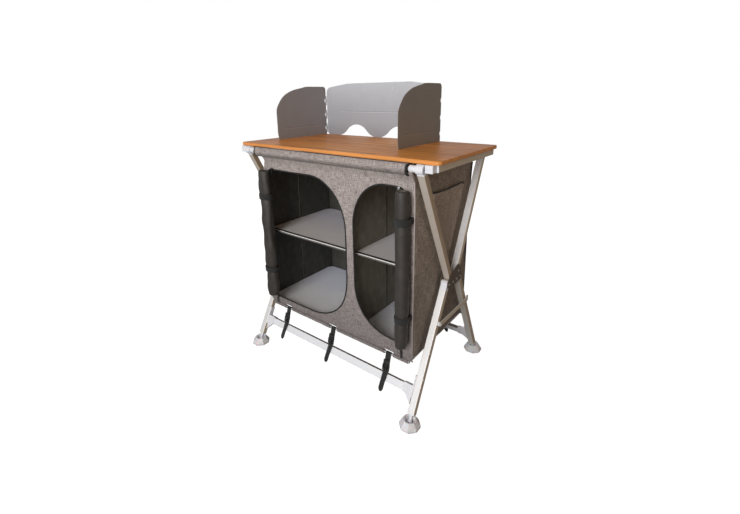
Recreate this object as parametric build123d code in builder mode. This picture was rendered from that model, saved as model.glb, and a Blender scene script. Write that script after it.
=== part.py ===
"""Folding camp kitchen: a bamboo top on four half-legs a side, with a hung cloth cabinet and a wind guard.

Millimetres. X runs to the right, Y to the back and Z up, from the floor below the middle of the top.
The four half-legs of a side lie in one plane and turn on a row of pivots between two plates.
"""

import os
from math import hypot

from build123d import *

# Clearances: between faces that slide or turn, and round soft pieces
GAP = 0.3
REST = 0.3

# Table top
TOP_WIDTH = 810
TOP_DEPTH = 396
TOP_THICK = 11
TOP_HEIGHT = 800
TOP_CORNER = 13
TOP_EDGE = 2
RAIL = 20
RAIL_WALL = 1.5
RAIL_SHORT = 16
RAIL_LENGTH = TOP_DEPTH - 2 * RAIL_SHORT
RAIL_INSET = 9
RAIL_CAP = 5
LATCH_WIDTH = 23.5
LATCH_DEPTH = 22
LATCH_HEIGHT = 20.5
LATCH_CORNER = 3
LATCH_ASIDE = 7
UNDERSIDE = TOP_HEIGHT - TOP_THICK

# Half-legs, in one plane on each side
LEG_INSET = 41
LEG_WIDTH = 22
LEG_PLANE = TOP_WIDTH / 2 - LEG_INSET - LEG_WIDTH / 2
LEG_DEPTH = 19
LEG_WALL = 1.6
LEG_CORNER = 2
PIVOT_HEIGHT = 388
PIVOT_PITCH = 26.5
PIVOT_MIDDLE = 6.25
TOE_SPREAD = 232
BALL_HEIGHT = 14
LEG_END_HEIGHT = 36
LEG_COLLAR = 3

# Top tubes and the tees that carry them on the legs
TUBE = 13
TUBE_WALL = 1.2
TUBE_AHEAD = 2
TUBE_Y = TOP_DEPTH / 2 + TUBE_AHEAD
TEE = 27
TEE_PLUG = 17
TEE_NECK = 19
TEE_NECK_LENGTH = 22
TUBE_Z = UNDERSIDE - TEE / 2 - REST

# Pivot plates and rivets
PLATE = 2.5
RIVET = 6
RIVET_HEAD = 8
RIVET_CAP = 1.4
EXTRA_RIVET = 27
PLATE_SIDE = 10
PLATE_BELOW = 13
PLATE_SHOULDER = 26
PLATE_EAR = 49
PLATE_ROUND = 2.5
KNUCKLE = 11.5

# Cross bars and brackets
BAR_DEPTH = 14
BAR_HEIGHT = 25
BAR_WALL = 1.5
BAR_ALONG = 336
BRACKET_WALL = 2
BRACKET_SLEEVE = 32
BRACKET_UP = 46
BRACKET_DOWN = 22
BRACKET_PLATE = 4
BRACKET_CORNER = 3
WEB_INSET = 5
SCREW = 7
SCREW_ALONG = (296, 332)

# Side brace between a front and a rear leg
BRACE = 14
BRACE_THICK = 2.7
BRACE_ALONG = 123
BRACE_LENGTH = 194
BRACE_STANDOFF = 5
BRACE_TAB = 22
BRACE_BOSS = 8

# Feet
PAD = 66
PAD_TOP = 42
PAD_HEIGHT = 24
PAD_RIM = 7
PAD_FLOOR = 6.2
PAD_LIP = 4.5
BALL = 15
BALL_PLAY = 1.5
STEM = 8
PLUG_LENGTH = 14

# Cloth cabinet
CLOTH = 1.6
LEG_CLEAR = 15
TUBE_DROP = 30.2
BAG_INSET = (19, 30)
BAG_HALF = LEG_PLANE - LEG_WIDTH / 2 - LEG_CLEAR
BAG_FRONT = BAG_INSET[0] - TUBE_Y
BAG_BACK = TUBE_Y - BAG_INSET[1]
BAG_TOP = TUBE_Z - TUBE_DROP
BAG_BOTTOM = 182
BAG_TURN = 8
FRONT_LEAN = 5
FRONT_TAPER = 90
BACK_LEAN = 12
BACK_TAPER = 120
SHOULDER = 12
SEAM_Y = -5
DIVIDER_X = 93
SLEEVE_SHORT = 11
SLEEVE_HALF = BAG_HALF - SLEEVE_SHORT
SLEEVE = 26.4
HEM_DROP = 14
HEM_INSET = (7, 1)
HEM_Z = BAG_BOTTOM - HEM_DROP
HEM_FRONT_Y = BAG_FRONT + HEM_INSET[0]
HEM_BACK_Y = BAG_BACK - HEM_INSET[1]
HEM_ROD = 8
HEM_SLEEVE = 2
HEM_SHORT = 14
HEM_HALF = BAG_HALF - HEM_SHORT
HEM_GAP = 34

# Door openings in the front panel
DOOR_SIDE = 27
DOOR_POST = (18, 15)
DOOR_SILL = (25, 48)
DOOR_HEAD = (33, 26)
DOOR_LEFT = (DOOR_SIDE - BAG_HALF, DIVIDER_X - DOOR_POST[0])
DOOR_RIGHT = (DIVIDER_X + DOOR_POST[1], BAG_HALF - DOOR_SIDE)
DOOR_LEFT_Z = (BAG_BOTTOM + DOOR_SILL[0], BAG_TOP - DOOR_HEAD[0])
DOOR_RIGHT_Z = (BAG_BOTTOM + DOOR_SILL[1], BAG_TOP - DOOR_HEAD[1])
DOOR_ROUND = 98
DOOR_TIGHT = 28

# Rolled-up doors
ROLL_INSET = (54, 21)
ROLL_X = (ROLL_INSET[0] - BAG_HALF, BAG_HALF - ROLL_INSET[1])
ROLL_WIDTH = (62, 50)
ROLL_DEPTH = 44
ROLL_FOOT = (48, 58)
ROLL_HEAD = (36, 31)
ROLL_STRAP_UP = (156, 151)
ROLL_STRAP_DOWN = (128, 116)
ROLL_Z = [(BAG_BOTTOM + foot, BAG_TOP - head) for foot, head in zip(ROLL_FOOT, ROLL_HEAD)]
ROLL_STRAP_Z = [(BAG_BOTTOM + up, BAG_TOP - down) for up, down in zip(ROLL_STRAP_UP, ROLL_STRAP_DOWN)]
ROLL_STRAP = 20
ROLL_STANDOFF = 4
ZIP_SLIDER = (8, 4, 18)
SLIDER_IN = (46, 26)
SLIDER_UP = (5, 3)

# Side pockets
POCKET_TOP_Y = (-90, 118)
POCKET_FOOT_Y = (-45, 42)
POCKET_DOWN = (270, 55)
POCKET_Z = (BAG_TOP - POCKET_DOWN[0], BAG_TOP - POCKET_DOWN[1])
POCKET_SPACE = 7
POCKET_CLOTH = 1.2

# Boards inside the cabinet
SHELF_TOP = 474
SHELF_THICK = 7
SHELF_CLEAR = (21, 3)
SHELF_FRONT = BAG_FRONT + SHELF_CLEAR[0]
SHELF_BACK = BAG_BACK - SHELF_CLEAR[1]
PROFILE_HEIGHT = 10
PROFILE_DEPTH = 8
PROFILE_WALL = 1.2
PROFILE_LIP = 1.5
PROFILE_SHORT = 2
BOARD_CORNER = 2
BOARD_BACK_CORNER = 26
FLOOR_TOP = 195
FLOOR_THICK = 8
FLOOR_CLEAR = (9, 4)
FLOOR_FRONT = BAG_FRONT + FLOOR_CLEAR[0]
FLOOR_BACK = BAG_BACK - FLOOR_CLEAR[1]

# Buckle straps from the hem rods to the cross bars
STRAP_INSET = (98, 89)
STRAP_MIDDLE = 2
STRAP_X = (STRAP_INSET[0] - BAG_HALF, STRAP_MIDDLE, BAG_HALF - STRAP_INSET[1])
STRAP_WIDTH = 22
STRAP_THICK = 2.2
STRAP_SHORT = 19
STRAP_LOW = 44
STRAP_END = (TOE_SPREAD - STRAP_SHORT, STRAP_LOW)
BUCKLE = (30, 6, 34)
BUCKLE_CORNER = 5
BUCKLE_DOWN = 0.55

# Wind guard
GUARD_MIDDLE = -73.5
GUARD_WIDTH = 543
GUARD_INSET = 4
GUARD_Y = TOP_DEPTH / 2 - GUARD_INSET
GUARD_SHEET = 1.2
GUARD_SIDE = 190
GUARD_RISE = 205
GUARD_SIDE_TOP = TOP_HEIGHT + GUARD_SIDE
GUARD_PEAK = TOP_HEIGHT + GUARD_RISE
GUARD_FLAT = 150
ARCH_MIDDLE = 104
ARCH_HALF = 87
ARCH_RISE = 45
ARCH_FLANK = (50, 22.4)
GUARD_ROUND = 24
GUARD_BEND = 150
GUARD_HEEL = 13
WING_LENGTH = 268
WING_FOOT = 263
WING_HEIGHT = 195
WING_ROUND = 14
FOOT_CURVE = (1.2, 14)
NOSE = (36, 100)
NOSE_CURVE = ((12, 131), (33, 155), (62, 172), (96, 183), (140, 191))
NECK_LENGTH = 188
HINGE_UP = (27, 82, 139)
HINGE_Z = [TOP_HEIGHT + up for up in HINGE_UP]
HINGE_PIN = 3
KNUCKLE_TUBE = 6.4
KNUCKLE_LENGTH = 12
HINGE_SETBACK = 4
RIB = 2
BACK_RIB = (190, 96)
WING_RIB = (30, 196, 40)
SLIT = (10, 2)
SLIT_IN = 36
SLIT_DOWN = 23


def pivot_y(place):
    """Y of a pivot in the row: 0 front lower, 1 front upper, 2 rear upper, 3 rear lower."""
    return PIVOT_MIDDLE + (place - 1.5) * PIVOT_PITCH


FRONT_LOWER, FRONT_UPPER, REAR_UPPER, REAR_LOWER = (pivot_y(place) for place in range(4))
OUTER_FACE = LEG_PLANE + LEG_WIDTH / 2
INNER_FACE = LEG_PLANE - LEG_WIDTH / 2
PANEL_EDGE = BAG_HALF - GAP


def unit(y0, z0, y1, z1):
    """Length and direction from one point of the leg plane to another."""
    length = hypot(y1 - y0, z1 - z0)
    return length, (y1 - y0) / length, (z1 - z0) / length


def along(pivot, end, distance, aside=0.0):
    """The point that lies distance along the line from a pivot to an end, and aside of it."""
    _, dy, dz = unit(pivot, PIVOT_HEIGHT, *end)
    return pivot + dy * distance - dz * aside, PIVOT_HEIGHT + dz * distance + dy * aside


def leg_plane(pivot, end, distance):
    """A plane square to a leg, with its X to the right, at a distance from the leg's pivot."""
    _, dy, dz = unit(pivot, PIVOT_HEIGHT, *end)
    y, z = along(pivot, end, distance)
    return Plane(origin=(LEG_PLANE, y, z), x_dir=(1, 0, 0), z_dir=(0, dy, dz))


def side_plane(x):
    """A plane that faces right at x, with Y to its right and Z up."""
    return Plane(origin=(x, 0, 0), x_dir=(0, 1, 0), z_dir=(1, 0, 0))


FRONT_TOP = (-TUBE_Y, TUBE_Z)
REAR_TOP = (TUBE_Y, TUBE_Z)
FRONT_TOE = (-TOE_SPREAD, BALL_HEIGHT)
REAR_TOE = (TOE_SPREAD, BALL_HEIGHT)


def upper_length(pivot, end):
    """How far an upper half-leg runs from its pivot: to just below the top tube's ring."""
    return unit(pivot, PIVOT_HEIGHT, *end)[0] - TEE / 2 - 1


def lower_length(pivot, end):
    """How far a lower half-leg runs from its pivot: down to its end plug."""
    return (PIVOT_HEIGHT - LEG_END_HEIGHT) / -unit(pivot, PIVOT_HEIGHT, *end)[2]


def leg_side(pivot, end):
    """A plane that faces right through the middle of a leg, with its X along the leg from the pivot."""
    _, dy, dz = unit(pivot, PIVOT_HEIGHT, *end)
    return Plane(origin=(LEG_PLANE, pivot, PIVOT_HEIGHT), x_dir=(0, dy, dz), z_dir=(1, 0, 0))


def make_leg(pivot, end, length, rivets):
    """A pair of square tubes, round at the pivot end, drilled across for their rivets."""
    with BuildPart() as leg:
        with BuildSketch(leg_side(pivot, end)):
            Circle(LEG_DEPTH / 2)
            with Locations((length / 2, 0)):
                Rectangle(length, LEG_DEPTH)
        extrude(amount=LEG_WIDTH / 2, both=True)
        rims = leg.faces().filter_by(Axis.X).edges()
        fillet(rims.filter_by(lambda edge: edge.length > LEG_DEPTH + 1), LEG_CORNER)
        with BuildSketch(leg_side(pivot, end)):
            Circle(LEG_DEPTH / 2 - LEG_WALL)
            with Locations((length / 2, 0)):
                Rectangle(length, LEG_DEPTH - 2 * LEG_WALL)
        extrude(amount=LEG_WIDTH / 2 - LEG_WALL, both=True, mode=Mode.SUBTRACT)
        with BuildSketch(leg_side(pivot, end)):
            with Locations(*[(distance, 0) for distance in rivets]):
                Circle(RIVET / 2 + GAP)
        extrude(amount=LEG_WIDTH, both=True, mode=Mode.SUBTRACT)
        mirror(about=Plane.YZ)
    return leg


def make_tee(end, pivot):
    """A pair of moulded tees: a ring and an inner neck round the top tube, and a plug in the leg."""
    reach = upper_length(pivot, end)
    bore = 2 * (LEG_WALL + GAP)
    with BuildPart() as tee:
        with BuildSketch(side_plane(LEG_PLANE)):
            with Locations(end):
                Circle(TEE / 2)
        extrude(amount=LEG_WIDTH / 2, both=True)
        with BuildSketch(side_plane(INNER_FACE)):
            with Locations(end):
                Circle(TEE_NECK / 2)
        extrude(amount=-TEE_NECK_LENGTH)
        with BuildSketch(leg_plane(pivot, end, reach)):
            RectangleRounded(LEG_WIDTH, LEG_DEPTH, LEG_CORNER)
        extrude(amount=TEE / 2)
        with BuildSketch(leg_plane(pivot, end, reach - TEE_PLUG)):
            RectangleRounded(LEG_WIDTH - bore, LEG_DEPTH - bore, LEG_CORNER / 2)
        extrude(amount=TEE_PLUG + 1)
        with BuildSketch(side_plane(LEG_PLANE)):
            with Locations(end):
                Circle(TUBE / 2)
        extrude(amount=LEG_WIDTH + TEE_NECK_LENGTH, both=True, mode=Mode.SUBTRACT)
        mirror(about=Plane.YZ)
    return tee


def make_tube(y):
    """The round tube that joins the tees of a pair of legs and carries the cloth."""
    with BuildPart() as tube:
        with BuildSketch(Plane.YZ):
            with Locations((y, TUBE_Z)):
                Circle(TUBE / 2)
                Circle(TUBE / 2 - TUBE_WALL, mode=Mode.SUBTRACT)
        extrude(amount=OUTER_FACE, both=True)
    return tube


def make_bar(end, pivot):
    """The flat tube across a pair of lower legs."""
    with BuildPart() as bar:
        y, z = along(pivot, end, BAR_ALONG)
        _, dy, dz = unit(pivot, PIVOT_HEIGHT, *end)
        across = Plane(origin=(0, y, z), x_dir=(0, dy, dz), z_dir=(1, 0, 0))
        with BuildSketch(across):
            RectangleRounded(BAR_HEIGHT, BAR_DEPTH, LEG_CORNER)
            RectangleRounded(
                BAR_HEIGHT - 2 * BAR_WALL, BAR_DEPTH - 2 * BAR_WALL, LEG_CORNER / 4, mode=Mode.SUBTRACT
            )
        extrude(amount=INNER_FACE - BRACKET_PLATE, both=True)
    return bar


def make_bracket(end, pivot):
    """A pair of moulded joints: a sleeve over the bar's end, a plate on the leg and a web above."""
    y, z = along(pivot, end, BAR_ALONG)
    _, dy, dz = unit(pivot, PIVOT_HEIGHT, *end)
    sleeve_half = BAR_HEIGHT / 2 + BRACKET_WALL
    with BuildPart() as bracket:
        across = Plane(origin=(INNER_FACE - BRACKET_PLATE, y, z), x_dir=(0, dy, dz), z_dir=(1, 0, 0))
        with BuildSketch(across):
            RectangleRounded(2 * sleeve_half, BAR_DEPTH + 2 * BRACKET_WALL, LEG_CORNER)
            Rectangle(BAR_HEIGHT, BAR_DEPTH, mode=Mode.SUBTRACT)
        extrude(amount=-BRACKET_SLEEVE)
        with BuildSketch(across):
            with Locations(((BRACKET_DOWN - BRACKET_UP) / 2, 0)):
                RectangleRounded(BRACKET_UP + BRACKET_DOWN, BAR_DEPTH + 2 * BRACKET_WALL, BRACKET_CORNER)
        extrude(amount=BRACKET_PLATE)
        web = Plane(origin=(INNER_FACE - BRACKET_PLATE, y, z), x_dir=(-1, 0, 0), z_dir=(0, dz, -dy))
        with BuildSketch(web):
            with BuildLine():
                Polyline(
                    (0, sleeve_half - 1),
                    (BRACKET_SLEEVE - WEB_INSET, sleeve_half - 1),
                    (0, BRACKET_UP - WEB_INSET),
                    close=True,
                )
            make_face()
        extrude(amount=BAR_DEPTH / 4, both=True)
        mirror(about=Plane.YZ)
    return bracket


def make_screws(end, pivot):
    """Low heads on the outer face of a pair of lower legs."""
    with BuildPart() as screws:
        with BuildSketch(side_plane(OUTER_FACE)):
            with Locations(*[along(pivot, end, distance) for distance in SCREW_ALONG]):
                Circle(SCREW / 2)
        extrude(amount=RIVET_CAP)
        chamfer(screws.faces().filter_by(Axis.X).sort_by(Axis.X)[-1].edges(), RIVET_CAP / 3)
        mirror(about=Plane.YZ)
    return screws


def make_stems(end, pivot):
    """A pair of leg ends: a plug in the tube, a collar below it and a stem with a ball."""
    length = unit(pivot, PIVOT_HEIGHT, *end)[0]
    reach = lower_length(pivot, end)
    with BuildPart() as stems:
        with BuildSketch(leg_plane(pivot, end, reach - PLUG_LENGTH)):
            RectangleRounded(LEG_WIDTH - 2 * LEG_WALL, LEG_DEPTH - 2 * LEG_WALL, LEG_CORNER / 4)
        extrude(amount=PLUG_LENGTH)
        with BuildSketch(leg_plane(pivot, end, reach)):
            RectangleRounded(LEG_WIDTH, LEG_DEPTH, LEG_CORNER)
        extrude(amount=LEG_COLLAR)
        with BuildSketch(leg_plane(pivot, end, reach)):
            Circle(STEM / 2)
        extrude(amount=length - reach)
        with Locations((LEG_PLANE, end[0], end[1])):
            Sphere(BALL / 2)
        mirror(about=Plane.YZ)
    return stems


def make_pad(x, y):
    """One eight-sided foot pad with a dished seat for the leg's ball."""
    with BuildPart() as pad:
        with BuildSketch(Plane.XY):
            with Locations((x, y)):
                RegularPolygon(PAD / 2, 8, rotation=22.5)
        extrude(amount=PAD_RIM)
        with BuildSketch(Plane.XY.offset(PAD_RIM)):
            with Locations((x, y)):
                RegularPolygon(PAD / 2, 8, rotation=22.5)
        with BuildSketch(Plane.XY.offset(PAD_HEIGHT)):
            with Locations((x, y)):
                RegularPolygon(PAD_TOP / 2, 8, rotation=22.5)
        loft()
        with BuildSketch(Plane.XY.offset(PAD_FLOOR)):
            with Locations((x, y)):
                Circle(BALL / 2 + BALL_PLAY)
        with BuildSketch(Plane.XY.offset(PAD_HEIGHT)):
            with Locations((x, y)):
                Circle(PAD_TOP / 2 - PAD_LIP)
        loft(mode=Mode.SUBTRACT)
    return pad


def make_plates():
    """Outer and inner plates that hold the pivots of both sides."""
    with BuildPart() as plates:
        with BuildSketch(side_plane(OUTER_FACE + GAP)) as outline:
            with BuildLine():
                Polyline(
                    (FRONT_LOWER - PLATE_SIDE, PIVOT_HEIGHT - PLATE_BELOW + 5),
                    (FRONT_LOWER - 2, PIVOT_HEIGHT - PLATE_BELOW),
                    (REAR_LOWER + 5, PIVOT_HEIGHT - PLATE_BELOW),
                    (REAR_LOWER + PLATE_SIDE + 1, PIVOT_HEIGHT - PLATE_BELOW + 8),
                    (REAR_LOWER + PLATE_SIDE, PIVOT_HEIGHT + 4),
                    (REAR_UPPER + PLATE_SIDE + 7, PIVOT_HEIGHT + PLATE_EAR - 7),
                    (REAR_UPPER + PLATE_SIDE - 1, PIVOT_HEIGHT + PLATE_EAR),
                    (REAR_UPPER - 2, PIVOT_HEIGHT + PLATE_EAR - 3),
                    (FRONT_LOWER + 2, PIVOT_HEIGHT + PLATE_SHOULDER),
                    (FRONT_LOWER - PLATE_SIDE + 1, PIVOT_HEIGHT + PLATE_SHOULDER - 16),
                    close=True,
                )
            make_face()
            fillet(outline.vertices(), radius=PLATE_ROUND)
        extrude(amount=PLATE)
        mirror(about=Plane(origin=(LEG_PLANE, 0, 0), z_dir=(1, 0, 0)))
        with BuildSketch(side_plane(LEG_PLANE)):
            with Locations(*rivet_places()):
                Circle(RIVET / 2)
        extrude(amount=LEG_WIDTH, both=True, mode=Mode.SUBTRACT)
        mirror(about=Plane.YZ)
    return plates


def rivet_places():
    """Where the rivets of one side stand: the four pivots, and a second one up the fixed leg."""
    pivots = [(y, PIVOT_HEIGHT) for y in (FRONT_LOWER, FRONT_UPPER, REAR_UPPER, REAR_LOWER)]
    return pivots + [along(REAR_UPPER, REAR_TOP, EXTRA_RIVET)]


def make_rivets():
    """Rivets through both plates and the legs between them, with low heads."""
    reach = LEG_WIDTH / 2 + GAP + PLATE
    with BuildPart() as rivets:
        with BuildSketch(side_plane(LEG_PLANE)):
            with Locations(*rivet_places()):
                Circle(RIVET / 2)
        extrude(amount=reach, both=True)
        with BuildSketch(side_plane(LEG_PLANE + reach), side_plane(LEG_PLANE - reach - RIVET_CAP)):
            with Locations(*rivet_places()):
                Circle(RIVET_HEAD / 2)
        extrude(amount=RIVET_CAP)
        mirror(about=Plane.YZ)
    return rivets


def make_knuckles(pivot, end):
    """White plugs that round off the pivot ends of a pair of lower legs."""
    with BuildPart() as knuckles:
        with BuildSketch(side_plane(LEG_PLANE)):
            with Locations((pivot, PIVOT_HEIGHT)):
                Circle(KNUCKLE)
                Circle(LEG_DEPTH / 2, mode=Mode.SUBTRACT)
        extrude(amount=LEG_WIDTH / 2, both=True)
        with BuildSketch(leg_plane(pivot, end, 0)):
            Rectangle(LEG_WIDTH + 2, 4 * KNUCKLE)
        extrude(amount=4 * KNUCKLE, mode=Mode.SUBTRACT)
        mirror(about=Plane.YZ)
    return knuckles


def make_braces():
    """The pair of side braces, with a finger tab and the boss that stops short of the rear leg."""
    front = along(FRONT_LOWER, FRONT_TOE, BRACE_ALONG)
    level = front[1]
    inner = OUTER_FACE + BRACE_STANDOFF + GAP
    with BuildPart() as braces:
        with BuildSketch(side_plane(inner)):
            with Locations((front[0] + BRACE_LENGTH / 2, level)):
                SlotCenterToCenter(BRACE_LENGTH, BRACE)
            with Locations((front[0] + BRACE_LENGTH - 1, level + BRACE / 2)):
                RectangleRounded(BRACE, BRACE_TAB - BRACE / 2, 3)
            with Locations(front):
                Circle(RIVET / 2 + GAP, mode=Mode.SUBTRACT)
        extrude(amount=BRACE_THICK)
        with BuildSketch(side_plane(OUTER_FACE + 2 * GAP)):
            with Locations((front[0] + BRACE_LENGTH, level)):
                Circle(BRACE_BOSS / 2)
        extrude(amount=BRACE_STANDOFF - GAP)
        mirror(about=Plane.YZ)
    return braces


def make_bushes():
    """The bushes and rivets that the braces turn on, fast in the front legs."""
    front = along(FRONT_LOWER, FRONT_TOE, BRACE_ALONG)
    outer = OUTER_FACE + BRACE_STANDOFF
    head = outer + BRACE_THICK + 2 * GAP
    with BuildPart() as bushes:
        for start, length, across in (
            (OUTER_FACE, BRACE_STANDOFF, BRACE),
            (outer, head - outer, RIVET),
            (head, RIVET_CAP, RIVET_HEAD + 2),
        ):
            with BuildSketch(side_plane(start)):
                with Locations(front):
                    Circle(across / 2)
            extrude(amount=length)
        mirror(about=Plane.YZ)
    return bushes


def make_top():
    """The bamboo top."""
    with BuildPart() as top:
        with BuildSketch(Plane.XY.offset(UNDERSIDE)):
            RectangleRounded(TOP_WIDTH, TOP_DEPTH, TOP_CORNER)
        extrude(amount=TOP_THICK)
        fillet(top.edges().group_by(Axis.Z)[-1], TOP_EDGE)
        fillet(top.edges().group_by(Axis.Z)[0], TOP_EDGE)
    return top


RAIL_X = TOP_WIDTH / 2 - RAIL_INSET - RAIL / 2


def make_rails():
    """Square tubes under the short edges of the top."""
    with BuildPart() as rails:
        with BuildSketch(Plane(origin=(RAIL_X, 0, UNDERSIDE - RAIL / 2), x_dir=(1, 0, 0), z_dir=(0, 1, 0))):
            RectangleRounded(RAIL, RAIL, LEG_CORNER)
            RectangleRounded(RAIL - 2 * RAIL_WALL, RAIL - 2 * RAIL_WALL, LEG_CORNER / 4, mode=Mode.SUBTRACT)
        extrude(amount=RAIL_LENGTH / 2, both=True)
        mirror(about=Plane.YZ)
    return rails


def make_rail_caps():
    """Plugs with a lip in both ends of both rails."""
    with BuildPart() as caps:
        corner = (RAIL_X, -RAIL_LENGTH / 2, UNDERSIDE - RAIL / 2)
        end = Plane(origin=corner, x_dir=(1, 0, 0), z_dir=(0, -1, 0))
        with BuildSketch(end):
            RectangleRounded(RAIL, RAIL, LEG_CORNER)
        extrude(amount=RAIL_CAP)
        with BuildSketch(end):
            RectangleRounded(RAIL - 2 * RAIL_WALL, RAIL - 2 * RAIL_WALL, LEG_CORNER / 4)
        extrude(amount=-RAIL_CAP)
        mirror(about=Plane.XZ)
        mirror(about=Plane.YZ)
    return caps


def make_latches():
    """White blocks under the front corners of the top, ahead of the rails."""
    with BuildPart() as latches:
        middle = (RAIL_X - LATCH_ASIDE, -RAIL_LENGTH / 2 - RAIL_CAP - LATCH_DEPTH / 2, UNDERSIDE)
        with BuildSketch(Plane(origin=middle, x_dir=(1, 0, 0), z_dir=(0, 0, -1))):
            RectangleRounded(LATCH_WIDTH, LATCH_DEPTH, LATCH_CORNER)
        extrude(amount=LATCH_HEIGHT)
        chamfer(latches.faces().sort_by(Axis.Z)[0].edges(), 1)
        mirror(about=Plane.YZ)
    return latches


def strip(points, half, thick):
    """A cloth strip of even thickness in Y, through points of the Y-Z plane, half wide each way."""
    with BuildSketch(Plane.YZ) as section:
        with BuildLine():
            Polyline(*points, *[(y + thick, z) for y, z in reversed(points)], close=True)
        make_face()
    extrude(section.sketch, amount=half, both=True)


def cut_door(across, up, round_left):
    """Cuts a door opening: wide curves on the side by the divider, tight ones by the rolled door."""
    radii = (DOOR_ROUND, DOOR_TIGHT) if round_left else (DOOR_TIGHT, DOOR_ROUND)
    with BuildSketch(Plane.XZ) as opening:
        with Locations(((across[0] + across[1]) / 2, (up[0] + up[1]) / 2)):
            Rectangle(across[1] - across[0], up[1] - up[0])
        fillet(opening.vertices().group_by(Axis.X)[0], radii[0])
        fillet(opening.vertices().group_by(Axis.X)[-1], radii[1])
    extrude(opening.sketch, amount=2 * TUBE_Y, both=True, mode=Mode.SUBTRACT)


def make_front_panel():
    """The front cloth: down from the sleeve, flat past the two doors, and in to the hem."""
    with BuildPart() as panel:
        strip(
            [
                (-TUBE_Y - 2 * CLOTH, TUBE_Z - SLEEVE / 2 - GAP),
                (BAG_FRONT - FRONT_LEAN, BAG_TOP - SHOULDER),
                (BAG_FRONT - CLOTH, BAG_TOP - FRONT_TAPER),
                (BAG_FRONT - CLOTH, BAG_BOTTOM + BAG_TURN),
                (HEM_FRONT_Y - 1, HEM_Z + HEM_ROD / 2 + HEM_SLEEVE),
            ],
            PANEL_EDGE,
            CLOTH,
        )
        cut_door(DOOR_LEFT, DOOR_LEFT_Z, False)
        cut_door(DOOR_RIGHT, DOOR_RIGHT_Z, True)
        make_hem(HEM_FRONT_Y)
    return panel


def make_hem(y):
    """The hem round a rod, cut away where the buckle straps loop round it."""
    with BuildSketch(Plane.YZ) as outside:
        with Locations((y, HEM_Z)):
            Circle(HEM_ROD / 2 + GAP + HEM_SLEEVE)
    extrude(outside.sketch, amount=HEM_HALF - 4, both=True)
    with BuildSketch(Plane.YZ) as bore:
        with Locations((y, HEM_Z)):
            Circle(HEM_ROD / 2 + GAP)
    extrude(bore.sketch, amount=TOP_WIDTH, both=True, mode=Mode.SUBTRACT)
    with BuildSketch(Plane.XY.offset(HEM_Z)) as gaps:
        with Locations(*[(x, y) for x in STRAP_X]):
            Rectangle(HEM_GAP, 4 * HEM_ROD)
    extrude(gaps.sketch, amount=HEM_ROD / 2 + 2 * GAP + STRAP_THICK, both=True, mode=Mode.SUBTRACT)


def make_back_panel():
    """The back cloth, from the rear sleeve down to its hem."""
    with BuildPart() as panel:
        strip(
            [
                (TUBE_Y - 1, TUBE_Z - SLEEVE / 2 - GAP),
                (BAG_BACK + BACK_LEAN, BAG_TOP - SHOULDER),
                (BAG_BACK, BAG_TOP - BACK_TAPER),
                (BAG_BACK, BAG_BOTTOM + BAG_TURN),
                (HEM_BACK_Y - 1, HEM_Z + HEM_ROD / 2 + HEM_SLEEVE),
            ],
            PANEL_EDGE,
            CLOTH,
        )
        make_hem(HEM_BACK_Y)
    return panel


def make_sleeve(y):
    """The padded cloth sleeve round a top tube."""
    with BuildPart() as sleeve:
        with BuildSketch(Plane.YZ):
            with Locations((y, TUBE_Z)):
                Circle(SLEEVE / 2)
                Circle(TUBE / 2 + GAP, mode=Mode.SUBTRACT)
        extrude(amount=SLEEVE_HALF, both=True)
    return sleeve


SIDE_FRONT = [
    (BAG_FRONT, BAG_BOTTOM + BAG_TURN),
    (BAG_FRONT, BAG_TOP - FRONT_TAPER),
    (BAG_FRONT - FRONT_LEAN + 1, BAG_TOP - SHOULDER),
    (BAG_FRONT + 2, BAG_TOP),
    (SEAM_Y - GAP, BAG_TOP),
    (SEAM_Y - GAP, BAG_BOTTOM + 3),
]
SIDE_BACK = [
    (SEAM_Y, BAG_BOTTOM + 3),
    (SEAM_Y, BAG_TOP),
    (BAG_BACK + BAG_TURN, BAG_TOP),
    (BAG_BACK, BAG_TOP - BACK_TAPER),
    (BAG_BACK, BAG_BOTTOM + BAG_TURN + 2),
]


def make_sides(outline):
    """One half of both side panels, front or back of the crease."""
    with BuildPart() as sides:
        with BuildSketch(side_plane(BAG_HALF)):
            with BuildLine():
                Polyline(*outline, close=True)
            make_face()
        extrude(amount=CLOTH)
        mirror(about=Plane.YZ)
    return sides


def make_wall(y0, y1):
    """One half of the cloth wall between the two compartments."""
    with BuildPart() as wall:
        with BuildSketch(Plane.XY.offset(FLOOR_TOP - FLOOR_THICK)):
            with Locations((DIVIDER_X, (y0 + y1) / 2)):
                Rectangle(CLOTH, y1 - y0)
        extrude(amount=BAG_TOP - FLOOR_TOP + FLOOR_THICK)
    return wall


def make_bag_floor(y0, y1):
    """One half of the cloth floor."""
    with BuildPart() as cloth:
        with BuildSketch(Plane.XY.offset(FLOOR_TOP - FLOOR_THICK - GAP - CLOTH)):
            with Locations((0, (y0 + y1) / 2)):
                Rectangle(2 * PANEL_EDGE, y1 - y0)
        extrude(amount=CLOTH)
    return cloth


def pocket_outline(side, wall):
    """Half of a pocket's outline, narrower at the foot, its slanting edge and foot moved in by wall."""
    seam = SEAM_Y if side else SEAM_Y - GAP
    inward = -wall if side else wall
    return [
        (seam, POCKET_Z[0] + wall),
        (POCKET_FOOT_Y[side] + inward, POCKET_Z[0] + wall),
        (POCKET_TOP_Y[side] + inward, POCKET_Z[1]),
        (seam, POCKET_Z[1]),
    ]


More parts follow.
